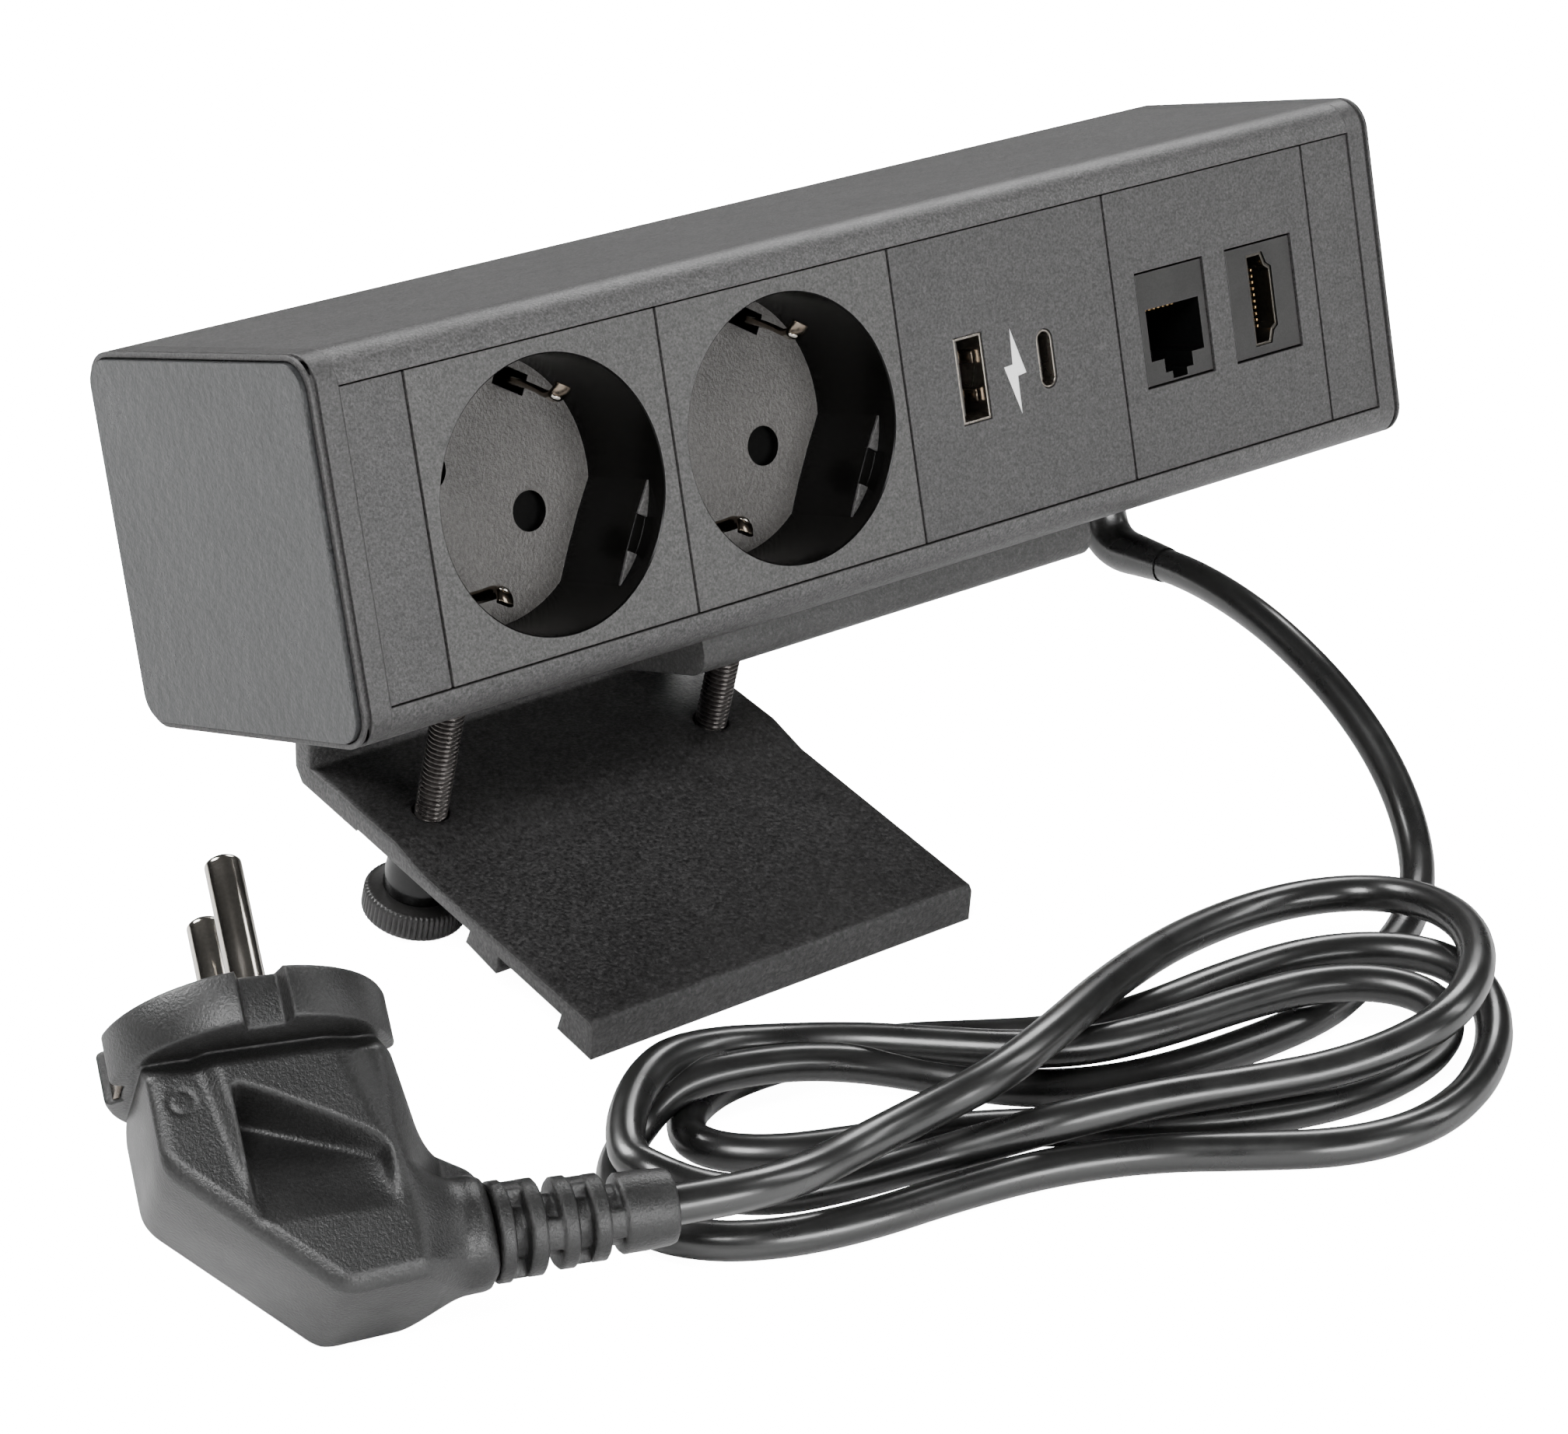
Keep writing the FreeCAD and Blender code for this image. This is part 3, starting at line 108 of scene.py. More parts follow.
# The line of the cord on the standing surface: x and y in millimetres, y before STAND_Y is
# added, and the height of its middle.
LEAD = [(61.5, 19.67, 41.02), (61.5, 18.64, 36.54), (61.3, 14.6, 33.4), (60.8, 7.6, 33.9),
        (60.0, -5.0, 34.2), (58.8, -20.0, 31.8), (58.0, -34.0, 26.4), (57.2, -44.0, 20.4),
        (55.4, -52.0, 14.4), (51.6, -59.2, 9.0), (45.6, -65.6, 5.4), (37.4, -70.8, 3.3),
        (27.5, -75.2, 3.0)]
FIRST_TURN = [(17.0, -79.6, 2.9), (4.9, -83.2, 2.8), (-11.3, -83.2, 2.8), (-26.7, -81.4, 2.8),
              (-37.9, -77.2, 2.8), (-46.2, -71.1, 3.2), (-53.1, -63.5, 4.6),
              (-60.5, -57.2, 6.4), (-68.7, -53.5, 8.0), (-76.7, -51.2, 8.8),
              (-83.5, -49.3, 8.8), (-88.8, -48.2, 7.6), (-94.9, -48.9, 4.2),
              (-102.2, -53.4, 2.8), (-108.3, -61.1, 2.8), (-110.1, -69.9, 2.8),
              (-106.4, -77.3, 2.8), (-99.1, -82.8, 2.8), (-87.5, -86.6, 2.8),
              (-72.3, -88.3, 2.8), (-57.8, -91.3, 2.8), (-44.6, -97.3, 2.8),
              (-34.0, -105.9, 2.8), (-23.8, -113.5, 2.8), (-12.0, -116.4, 2.8),
              (0.5, -114.3, 2.8), (12.8, -108.3, 3.0), (20.7, -101.8, 4.6)]
SECOND_TURN = [(24.4, -95.0, 6.8), (23.2, -88.0, 8.4), (17.9, -80.8, 8.6), (8.2, -75.4, 8.4),
               (-6.2, -73.6, 8.2), (-21.3, -72.8, 7.6), (-31.4, -67.6, 5.6),
               (-38.1, -58.9, 3.8), (-45.5, -50.7, 2.8), (-55.8, -45.8, 2.8),
               (-67.8, -43.6, 2.8), (-77.0, -44.3, 2.8), (-84.8, -47.7, 2.8),
               (-89.4, -53.6, 2.8), (-88.3, -59.7, 2.8), (-82.2, -65.4, 2.8),
               (-72.1, -69.8, 2.8), (-60.9, -74.9, 2.8), (-50.3, -82.2, 2.8),
               (-40.4, -90.2, 2.8), (-29.6, -97.4, 2.8), (-17.9, -102.5, 2.8),
               (-5.5, -104.3, 2.8), (6.3, -102.9, 3.2)]
THIRD_TURN = [(12.7, -100.3, 5.2), (13.2, -96.1, 7.8), (9.8, -89.5, 8.8), (2.1, -83.8, 8.8),
              (-9.8, -81.4, 8.8), (-23.8, -79.8, 8.6), (-36.4, -77.1, 8.6),
              (-45.3, -70.7, 8.6), (-52.4, -62.6, 8.6), (-59.5, -54.5, 8.6),
              (-68.3, -48.2, 8.8), (-78.8, -45.6, 10.6), (-89.2, -47.1, 12.4),
              (-99.1, -52.4, 10.6), (-105.9, -60.0, 8.6), (-105.8, -64.9, 8.2),
              (-101.0, -69.5, 5.4), (-92.6, -73.9, 3.2), (-81.3, -76.8, 2.8),
              (-70.3, -80.1, 3.6), (-60.9, -85.4, 6.0), (-51.9, -91.0, 8.4),
              (-39.4, -94.9, 8.6), (-27.3, -99.3, 8.2), (-16.6, -103.9, 8.6),
              (-6.9, -107.8, 10.6), (2.8, -108.8, 12.8)]
TOP_STRAND = [(14.1, -103.8, 14.0), (24.9, -93.5, 13.6), (30.5, -81.8, 12.4),
              (29.4, -71.2, 11.0), (21.3, -64.7, 10.4), (8.5, -62.7, 10.6),
              (-9.2, -65.5, 12.0), (-29.1, -72.6, 14.0), (-47.2, -80.1, 15.0),
              (-60.4, -83.1, 14.0), (-71.0, -81.6, 12.0), (-85.5, -82.0, 11.0),
              (-98.0, -85.6, 12.6)]
INTO_PLUG = [PLUG @ Vector((x, 0.0, RELIEF_Z)) for x in (55.6, 41.6)]
ROUTE = [Vector((x, y + STAND_Y, z))
         for x, y, z in LEAD + FIRST_TURN + SECOND_TURN + THIRD_TURN + TOP_STRAND] + INTO_PLUG


def make_cord():
    data = bpy.data.curves.new("mains_cord", "CURVE")
    data.dimensions = "3D"
    spline = data.splines.new("NURBS")
    spline.points.add(len(ROUTE) - 1)
    for point, at in zip(spline.points, ROUTE):
        point.co = (*(at * MM), 1.0)
    spline.order_u = 3
    spline.use_endpoint_u = True
    spline.resolution_u = 8
    cord = bpy.data.objects.new("mains_cord", data)
    bpy.context.scene.collection.objects.link(cord)
    line = bpy.data.meshes.new_from_object(cord)
    middle = [v.co.copy() for v in line.vertices]
    bpy.data.meshes.remove(line)
    data.bevel_depth = CORD_DIAMETER / 2 * MM
    data.bevel_resolution = 7
    data.use_fill_caps = True
    return cord, middle


cord, cord_line = make_cord()


# ------------------------------------------------------------------ surfaces

PATCH_SCALE, SMEAR_SCALE = 45.0, 160.0
# The second number pales the colour at the edges: partly wear, partly a painted highlight along
# the rounded edges.
FLECK_SHINE, EDGE_WEAR_AND_HIGHLIGHT_GAIN = 3.4, 3.0
COAT_ROUGHNESS = 0.12
SURFACES = {}


def noise(tree, coords, scale, detail=2.0, rough=0.5):
    node = tree.nodes.new("ShaderNodeTexNoise")
    node.inputs["Scale"].default_value = scale
    node.inputs["Detail"].default_value = detail
    node.inputs["Roughness"].default_value = rough
    tree.links.new(coords, node.inputs["Vector"])
    return node.outputs["Fac"]


def ramp(tree, value, low, high, out_low, out_high):
    node = tree.nodes.new("ShaderNodeMapRange")
    for name, number in (("From Min", low), ("From Max", high), ("To Min", out_low),
                         ("To Max", out_high)):
        node.inputs[name].default_value = number
    tree.links.new(value, node.inputs["Value"])
    return node.outputs["Result"]


def colour_sockets(sockets):
    return [s for s in sockets if s.type == "RGBA"]


def blend_colour(tree, factor, a, b):
    """Colour a where factor is 0 and b where it is 1; each is a tuple or a node's output."""
    node = tree.nodes.new("ShaderNodeMix")
    node.data_type = "RGBA"
    tree.links.new(factor, node.inputs[0])
    for socket, value in zip(colour_sockets(node.inputs), (a, b)):
        if isinstance(value, tuple):
            socket.default_value = (*value, 1.0)
        else:
            tree.links.new(value, socket)
    return colour_sockets(node.outputs)[0]


def shade(tree, colour, factor):
    """Multiplies a colour by a number."""
    node = tree.nodes.new("ShaderNodeMix")
    node.data_type, node.blend_type = "RGBA", "MULTIPLY"
    node.inputs[0].default_value = 1.0
    first, second = colour_sockets(node.inputs)
    tree.links.new(colour, first)
    tree.links.new(factor, second)
    return colour_sockets(node.outputs)[0]


def scaled(colour, factor):
    return tuple(min(1.0, c * factor) for c in colour)


def add_flecks(tree, coords, base, colour, strength, scale):
    """Pale specks of one cell each, as in textured paint."""
    cells = tree.nodes.new("ShaderNodeTexVoronoi")
    cells.inputs["Scale"].default_value = scale
    tree.links.new(coords, cells.inputs["Vector"])
    split = tree.nodes.new("ShaderNodeSeparateColor")
    tree.links.new(cells.outputs["Color"], split.inputs["Color"])
    lit = ramp(tree, split.outputs["Red"], 0.72, 0.98, 0.0, strength)
    return blend_colour(tree, lit, base, scaled(colour, FLECK_SHINE))


def edge_wear_and_highlight(tree, rounded, base, colour, strength):
    """Pales the colour where the rounded normal leaves the true one, at the edges: partly wear,
    partly a painted highlight on the rounded edges.
    """
    true = tree.nodes.new("ShaderNodeNewGeometry")
    dot = tree.nodes.new("ShaderNodeVectorMath")
    dot.operation = "DOT_PRODUCT"
    tree.links.new(rounded, dot.inputs[0])
    tree.links.new(true.outputs["Normal"], dot.inputs[1])
    wear_and_highlight_mask = ramp(tree, dot.outputs["Value"], 0.995, 0.8, 0.0, strength)
    return blend_colour(tree, wear_and_highlight_mask, base, scaled(colour, EDGE_WEAR_AND_HIGHLIGHT_GAIN))


def bump(tree, height, depth, normal):
    """Relief of `depth` millimetres on top of another normal."""
    node = tree.nodes.new("ShaderNodeBump")
    node.inputs["Strength"].default_value = 1.0
    node.inputs["Distance"].default_value = depth * MM
    tree.links.new(height, node.inputs["Height"])
    tree.links.new(normal, node.inputs["Normal"])
    return node.outputs["Normal"]


def surface(name, colour, rough, grain=3000.0, depth=0.03, second=None, mottle=0.18, flecks=0.0,
            fleck_scale=6000.0, speck=0.16, wear_and_highlight=0.0, metal=0.0, coat=0.0, specular=0.5,
            edge=0.25, spread=0.06):
    """A moulded, painted or plated surface. grain is cells per metre, depth in millimetres, and
    second is the (cells per metre, depth) of a broader relief."""
    material = bpy.data.materials.new(name)
    material.use_nodes = True
    tree = material.node_tree
    shader = tree.nodes["Principled BSDF"]
    shader.inputs["Metallic"].default_value = metal
    shader.inputs["Coat Weight"].default_value = coat
    shader.inputs["Coat Roughness"].default_value = COAT_ROUGHNESS
    shader.inputs["Specular IOR Level"].default_value = specular
    coords = tree.nodes.new("ShaderNodeTexCoord").outputs["Object"]
    patches = noise(tree, coords, PATCH_SCALE, 3.0)
    base = blend_colour(tree, ramp(tree, patches, 0.3, 0.7, 0.0, 1.0),
                        scaled(colour, 1 - mottle), scaled(colour, 1 + mottle))
    fine = noise(tree, coords, grain, 3.0, 0.6)
    base = shade(tree, base, ramp(tree, fine, 0.34, 0.66, 1 - speck, 1 + speck))
    if flecks:
        base = add_flecks(tree, coords, base, colour, flecks, fleck_scale)
    bevel = tree.nodes.new("ShaderNodeBevel")
    bevel.samples = 4
    bevel.inputs["Radius"].default_value = edge * MM
    rounded = bevel.outputs["Normal"]
    # Paler edges: partly wear, partly a painted highlight.
    if wear_and_highlight:
        base = edge_wear_and_highlight(tree, rounded, base, colour, wear_and_highlight)
    tree.links.new(base, shader.inputs["Base Color"])
    smears = noise(tree, coords, SMEAR_SCALE, 3.0)
    tree.links.new(ramp(tree, smears, 0.25, 0.75, rough - spread, rough + spread),
                   shader.inputs["Roughness"])
    normal = bump(tree, fine, depth, rounded)
    if second:
        scale, drop = second
        normal = bump(tree, noise(tree, coords, scale), drop, normal)
    tree.links.new(normal, shader.inputs["Normal"])
    SURFACES[name] = material


surface("housing_paint", (0.050, 0.049, 0.049), 0.46, 2500, 0.07, flecks=0.3, fleck_scale=4200,
        speck=0.5, mottle=0.06, edge=0.4, spread=0.04, wear_and_highlight=0.15)
surface("cap_plastic", (0.043, 0.042, 0.042), 0.46, 2500, 0.06, flecks=0.2, fleck_scale=4200,
        speck=0.45, mottle=0.06, edge=0.4, wear_and_highlight=0.15)
surface("plate_plastic", (0.0285, 0.0295, 0.0304), 0.31, 1700, 0.07, (650, 0.13), mottle=0.1,
        speck=0.25, edge=0.3)
surface("module_plastic", (0.040, 0.039, 0.039), 0.46, 2300, 0.08, flecks=0.22, fleck_scale=3600,
        speck=0.5, mottle=0.05, edge=0.3, wear_and_highlight=0.25)
surface("socket_plastic", (0.052, 0.051, 0.050), 0.44, 2300, 0.08, flecks=0.18, fleck_scale=3600,
        speck=0.45, mottle=0.05, edge=0.3, wear_and_highlight=0.2)
surface("recess_floor", (0.092, 0.088, 0.084), 0.42, 1900, 0.22, speck=0.2, mottle=0.1, edge=0.2)
# Painted shade: the recess wall is near black for the shade inside the socket's cup, with a gloss
# finish.
surface("socket_gloss_and_shade", (0.0022, 0.0021, 0.0020), 0.22, 900, 0.003, mottle=0.1, speck=0.05,
        specular=0.14, edge=0.3, spread=0.03)
surface("inner_plastic", (0.055, 0.054, 0.052), 0.45, 2200, 0.02)
surface("port_plastic", (0.050, 0.048, 0.045), 0.4, 2200, 0.02)
# Near-black plastic with little reflection: the video tongue's own colour, and painted shade on
# the shutters in the pin holes and inside the jacks.
surface("dark_plastic_and_shade", (0.003, 0.003, 0.003), 0.35, 2200, 0.01, specular=0.1)
surface("contact_metal", (0.66, 0.62, 0.56), 0.14, 1800, 0.006, metal=1.0, mottle=0.08, speck=0.05,
        spread=0.05)
surface("spring_nickel", (0.20, 0.165, 0.13), 0.2, 1800, 0.01, metal=1.0, mottle=0.2, speck=0.1,
        spread=0.06)
surface("gold_contact", (0.62, 0.40, 0.19), 0.3, 1800, 0.005, metal=1.0, mottle=0.12, speck=0.08)
surface("plated_steel", (0.46, 0.42, 0.37), 0.26, 1500, 0.006, metal=1.0, mottle=0.1, speck=0.06)
surface("dark_shell", (0.13, 0.12, 0.105), 0.32, 1500, 0.006, metal=1.0, mottle=0.15, speck=0.08)
surface("keystone_plastic", (0.024, 0.0235, 0.023), 0.36, 3200, 0.025, speck=0.15, edge=0.25,
        wear_and_highlight=0.15)
surface("white_print", (0.9, 0.9, 0.9), 0.5, 2600, 0.01, mottle=0.03, speck=0.03)
surface("board", (0.02, 0.12, 0.05), 0.35, 1600, 0.02, mottle=0.25)
surface("cord_pvc", (0.0085, 0.0086, 0.0084), 0.3, 1500, 0.010, (240, 0.018), mottle=0.25,
        speck=0.12, specular=0.75, coat=0.2, spread=0.06)
surface("plug_plastic", (0.0090, 0.0090, 0.0089), 0.41, 2400, 0.10, mottle=0.1, speck=0.4,
        specular=0.6, spread=0.04, edge=0.6)
surface("block_paint", (0.036, 0.0355, 0.035), 0.48, 1900, 0.14, flecks=0.25, fleck_scale=3200,
        speck=0.35, edge=0.4)
surface("bracket_paint", (0.0270, 0.0265, 0.0265), 0.36, 1700, 0.16, flecks=0.4, fleck_scale=2400,
        speck=0.6, wear_and_highlight=0.35, edge=1.5, spread=0.07)
surface("screw_steel", (0.108, 0.100, 0.095), 0.3, 1400, 0.02, metal=0.9, mottle=0.5, speck=0.25,
        wear_and_highlight=0.8, edge=0.12, spread=0.1)
surface("knob_plastic", (0.020, 0.0195, 0.019), 0.36, 3000, 0.03, speck=0.2, edge=0.2, wear_and_highlight=0.25)
surface("collar_plastic", (0.004, 0.004, 0.004), 0.24, 1200, 0.008, specular=0.4)

OTHER_SURFACE = {"usb_a_tongue": "port_plastic", "usb_c_tongue": "port_plastic",
                 "hdmi_tongue": "dark_plastic_and_shade", "hdmi_shell": "dark_shell",
                 # The shutters' near black is painted shade in the pin holes.
                 "rj45_contacts": "gold_contact", "socket_1_shutter": "dark_plastic_and_shade",
                 "socket_2_shutter": "dark_plastic_and_shade", "usb_module_box": "dark_plastic_and_shade",
                 "plug_earth_contacts": "spring_nickel"}
SLOT_OF = {row["node"]: row["material_slot"] for row in frame["record"]["subparts"]}


def dress_nodes():
    """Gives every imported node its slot's surface, or the one that OTHER_SURFACE names."""
    for node, thing in NODES.items():
        material = SURFACES[OTHER_SURFACE.get(node, SLOT_OF[node])]
        thing.data.materials.clear()
        thing.data.materials.append(material)
        for face in thing.data.polygons:
            face.material_index = 0


RECESS_RADIUS, RECESS_DEPTH = 20.7, 17.0
RECESS_LIP, JACK_LIP = 0.35, 0.7


def finish_recesses():
    """Each socket's cup has a glossy wall, painted near black as shade inside the cup, and a
    coarsely textured floor.
    """
    for key in SOCKETS:
        thing = NODES[f"{key}_front"]
        thing.data.materials.append(SURFACES["socket_gloss_and_shade"])
        thing.data.materials.append(SURFACES["recess_floor"])
        back = module_frame(key).inverted()
        for face in thing.data.polygons:
            at = back @ (face.center / MM)
            away = back.to_3x3() @ face.normal
            if math.hypot(at.x, at.z) > RECESS_RADIUS or at.y < RECESS_LIP:
                continue
            floor = abs(away.y) > 0.9 and at.y > RECESS_DEPTH
            face.material_index = 2 if floor else 1


def paint_shade_in_jacks():
    """Painted shade: inside the network and video jacks, behind their face, the faces are near
    black where shade falls in the openings.
    """
    back = module_frame("data").inverted()
    for node in ("rj45_jack", "hdmi_coupler"):
        thing = NODES[node]
        thing.data.materials.append(SURFACES["dark_plastic_and_shade"])
        for face in thing.data.polygons:
            if (back @ (face.center / MM)).y > JACK_LIP:
                face.material_index = 1


dress_nodes()
finish_recesses()
paint_shade_in_jacks()


# ------------------------------------------------------------------ mesh building

def new_piece(name, points, faces, place, surface_name, body, slot, replaces=(), smooth=40.0):
    """A mesh piece: points in millimetres in the frame `place`; edges sharper than `smooth`
    degrees stay sharp."""
    mesh = bpy.data.meshes.new(name)
    mesh.from_pydata([(place @ Vector(p)) * MM for p in points], [], faces)
    mesh.materials.append(SURFACES[surface_name])
    work = bmesh.new()
    work.from_mesh(mesh)
    bmesh.ops.recalc_face_normals(work, faces=work.faces)
    work.to_mesh(mesh)
    work.free()
    thing = bpy.data.objects.new(name, mesh)
    bpy.context.scene.collection.objects.link(thing)
    if smooth:
        for face in mesh.polygons:
            face.use_smooth = True
        mesh.set_sharp_from_angle(angle=math.radians(smooth))
    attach(thing, body)
    if replaces:
        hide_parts(*replaces)
    return thing


def circle(steps):
    """The angles of evenly spaced steps round a circle."""
    return [2 * math.pi * i / steps for i in range(steps)]


class Builder:
    """Collects points and faces of several shapes into one piece."""

    def __init__(self):
        self.points, self.faces = [], []

    def add(self, points, faces, place=None):
        base = len(self.points)
        self.points += [place @ Vector(p) if place else Vector(p) for p in points]
        self.faces += [tuple(base + i for i in face) for face in faces]
        return self

    def grid(self, rows, place=None):
        """Rows of points joined row to row; each row closes on itself."""
        count = len(rows[0])
        faces = []
        for r in range(len(rows) - 1):
            for c in range(count):
                d = (c + 1) % count
                faces.append((r * count + c, r * count + d, (r + 1) * count + d,
                              (r + 1) * count + c))
        return self.add([p for row in rows for p in row], faces, place)

    def cap(self, rows):
        """Closes the first and last row of the grid that was just added."""
        total, ring = len(self.points), len(rows[0])
        start = total - len(rows) * ring
        self.faces.append(tuple(range(start, start + ring)))
        self.faces.append(tuple(range(total - ring, total)))

    def lathe(self, profile, steps=48, place=None, caps=True, ripple=None):
        """A turned shape about Z from (radius, height) pairs."""
        rows = []
        for radius, z in profile:
            row = []
            for a in circle(steps):
                r = radius + (ripple(a, radius, z) if ripple else 0.0)
                row.append(Vector((r * math.cos(a), r * math.sin(a), z)))
            rows.append(row)
        self.grid(rows, place)
        if caps:
            self.cap(rows)
        return self

    def block(self, size, at, place=None, soft=0.15):
        """A box with rounded edges."""
        work = bmesh.new()
        bmesh.ops.create_cube(work, size=1.0)
        for v in work.verts:
            v.co = Vector([v.co[i] * size[i] + at[i] for i in range(3)])
        bmesh.ops.bevel(work, geom=list(work.edges), offset=min(soft, min(size) * 0.225),
                        segments=2, profile=0.5, affect="EDGES")
        work.verts.index_update()
        points = [v.co.copy() for v in work.verts]
        faces = [tuple(v.index for v in f.verts) for f in work.faces]
        work.free()
        return self.add(points, faces, place)

    def strip(self, path, wide, thick, place=None):
        """A bent strip: path holds (y, z) points of its middle, its width runs along X."""
        rows = []
        half, deep, soft = wide / 2, thick / 2, thick * 0.3
        for i, at in enumerate(path):
            before, after = Vector(path[max(i - 1, 0)]), Vector(path[min(i + 1, len(path) - 1)])
            along = (after - before).normalized()
            out = Vector((0.0, -along.y, along.x))
            middle = Vector((0.0, *at))
            rows.append([middle + Vector((x, 0, 0)) + out * d for x, d in (
                (-half, soft - deep), (soft - half, -deep), (half - soft, -deep),
                (half, soft - deep), (half, deep - soft), (half - soft, deep),
                (soft - half, deep), (-half, deep - soft))])
        self.grid(rows, place)
        self.cap(rows)
        return self

    def piece(self, name, place, *details, **more):
        return new_piece(name, self.points, self.faces, place, *details, **more)


def along_x(at):
    """Turns a shape's Z axis onto X, at a point."""
    return Matrix.Translation(at) @ Matrix.Rotation(math.radians(90), 4, "Y")


def curved(corners, steps=6):
    """A smooth line of (y, z) points that starts and ends at the first and last corner."""
    line = []
    count = len(corners)
    for i in range(1, count - 1):
        here = Vector(corners[i])
        first = Vector(corners[0]) if i == 1 else (Vector(corners[i - 1]) + here) / 2
        last = Vector(corners[-1]) if i == count - 2 else (here + Vector(corners[i + 1])) / 2
        for k in range(steps):
            t = k / steps
            line.append(first * (1 - t) ** 2 + here * 2 * t * (1 - t) + last * t ** 2)
    return line + [Vector(corners[-1])]


# ------------------------------------------------------------------ inside the sockets

SOCKET_TURN = 30.0
SPRING_ARM = [(22.0, 17.1), (18.5, 16.7), (13.5, 16.0), (9.6, 15.1), (7.0, 14.2), (5.4, 15.0),
              (5.0, 16.2)]
SPRING_BRIDGE = [(22.0, 17.1), (23.0, 17.1), (23.6, 16.4), (23.6, 0.0)]
SPRING_WIDE, SPRING_THICK = 2.8, 1.0
TIP_Y, TIP_Z = 6.6, 14.35
TIP_RADIUS, TIP_RISE = 1.25, 0.75
KEY_RAMP = ((17.95, 2.8), (18.24, 8.8), (19.85, 2.8))
RAMP_START, RAMP_END = 3.9, 4.9


def mirrored_z(points):
    return [(y, -z) for y, z in points]


def earth_springs(key):
    """Two sprung strips with contact tips, on two sides of the recess and joined behind it."""
    place = module_frame(key, SOCKET_TURN)
    make = Builder()
    for flip in (list, mirrored_z):
        make.strip(flip(curved(SPRING_ARM)), SPRING_WIDE, SPRING_THICK)
        make.strip(flip(SPRING_BRIDGE), SPRING_WIDE, SPRING_THICK)
    make.piece(f"{key}_earth_springs", place, "spring_nickel", "housing", "contact_metal",
               replaces=(f"{key}_earth_clip",), smooth=50)
    tips = Builder()
    dome = [(TIP_RADIUS * math.cos(math.radians(a)), TIP_RISE * math.sin(math.radians(a)))
            for a in range(0, 90, 15)]
    for sign in (-1, 1):
        at = Matrix.Translation((0, TIP_Y, sign * TIP_Z)) @ turn_x(90 + 90 * sign)
        tips.lathe([*dome, (0.05, TIP_RISE + 0.01)], 24, at)
    tips.piece(f"{key}_spring_tips", place, "contact_metal", "housing", "contact_metal",
               smooth=50)


def key_ramps(key):
    """Small sloped faces at the ends of the two raised keys on the recess wall."""
    make = Builder()
    for side in (-1, 1):
        for end in (-1, 1):
            points = [(side * x, y, end * z) for y in (RAMP_START, RAMP_END)
                      for x, z in KEY_RAMP]
            faces = [(0, 1, 2), (3, 4, 5), (0, 1, 4, 3), (1, 2, 5, 4), (2, 0, 3, 5)]
            make.add(points, faces)
    make.piece(f"{key}_key_ramps", module_frame(key, SOCKET_TURN), "socket_plastic", "housing",
               "socket_plastic", smooth=0)


for key in SOCKETS:
    earth_springs(key)
    key_ramps(key)


# ------------------------------------------------------------------ inside the ports

USB_A_X, HDMI_X = -8.8, 10.2
# Each spring as (depth, distance from the tongue's middle), and how far each pair stands apart.
USB_SPRING = [(11.0, 2.35), (6.0, 2.3), (3.6, 1.2), (2.0, 2.0)]
USB_SPRING_Z, USB_PAD_Z = 2.9, 3.0
HDMI_CONTACTS, HDMI_PITCH = 10, 1.0


def port_contacts():
    """The plated contacts that show inside the USB and video ports."""
    usb = Builder()
    for sign in (-1, 1):
        usb.block((0.3, 2.4, 1.7), (USB_A_X - 0.3, 3.9, sign * USB_PAD_Z), soft=0.12)
    spring = curved([(y, USB_A_X + out) for y, out in USB_SPRING])
    for sign in (-1, 1):
        usb.strip(spring, 1.9, 0.3, along_x((0, 0, sign * USB_SPRING_Z)))
    usb.piece("usb_port_contacts", module_frame("usb"), "spring_nickel", "housing",
              "contact_metal", smooth=50)
    video = Builder()
    for i in range(HDMI_CONTACTS):
        z = (i - (HDMI_CONTACTS - 1) / 2) * HDMI_PITCH
        video.block((0.3, 7.5, 0.45), (HDMI_X + 0.1, 6.2, z), soft=0.08)
    video.piece("video_port_contacts", module_frame("data"), "gold_contact", "housing",
                "contact_metal", smooth=50)


port_contacts()


# ------------------------------------------------------------------ the clamp's thumb screws

THREAD_TOP, THREAD_LOW, ROD_TOP = 35.3, -7.0, 36.1
PITCH, MAJOR, MINOR = 0.8, 2.5, 2.06
THREAD_STEPS, STEPS_PER_PITCH = 28, 6
KNOB_LOW, KNOB_TOP, NECK_TOP = -18.2, -13.7, -3.35
KNOB_R, FLUTES, FLUTE_DEEP = 7.98, 58, 0.32
COLLAR_BORE = 2.52


def screw_frame(side):
    """On a screw's axis, Z up along the rod, at the height of the bracket's upper face."""
    return CLAMP @ Matrix.Translation((SCREW_X[side], SCREW_Y, 0))


def thread_radius(angle, z):
    """A helical groove: flat at the crest and at the root, with sloped flanks."""
    phase = (z / PITCH - angle / (2 * math.pi)) % 1.0
    crest = min(1.0, max(0.0, 1.45 - abs(phase - 0.5) * 3.6))
    return MINOR + (MAJOR - MINOR) * crest


def screw_thread(side):
    """An M5 rod: one helical groove along its length, and a chamfered point."""
    count = int((THREAD_TOP - THREAD_LOW) / PITCH * STEPS_PER_PITCH)
    heights = [THREAD_LOW + k * PITCH / STEPS_PER_PITCH for k in range(count + 1)]
    levels = [(lambda angle, z: MINOR, KNOB_LOW + 2.0)]
    levels += [(thread_radius, z) for z in heights]
    levels += [(lambda angle, z: 1.9, ROD_TOP), (lambda angle, z: 0.4, ROD_TOP)]
    rows = []
    for radius, z in levels:
        rows.append([Vector((radius(a, z) * math.cos(a), radius(a, z) * math.sin(a), z))
                     for a in circle(THREAD_STEPS)])
    make = Builder().grid(rows)
    make.cap(rows)
    make.piece(f"{side}_threaded_rod", screw_frame(side), "screw_steel", f"{side}_screw",
               "screw_steel", replaces=(f"{side}_clamp_screw",), smooth=50)


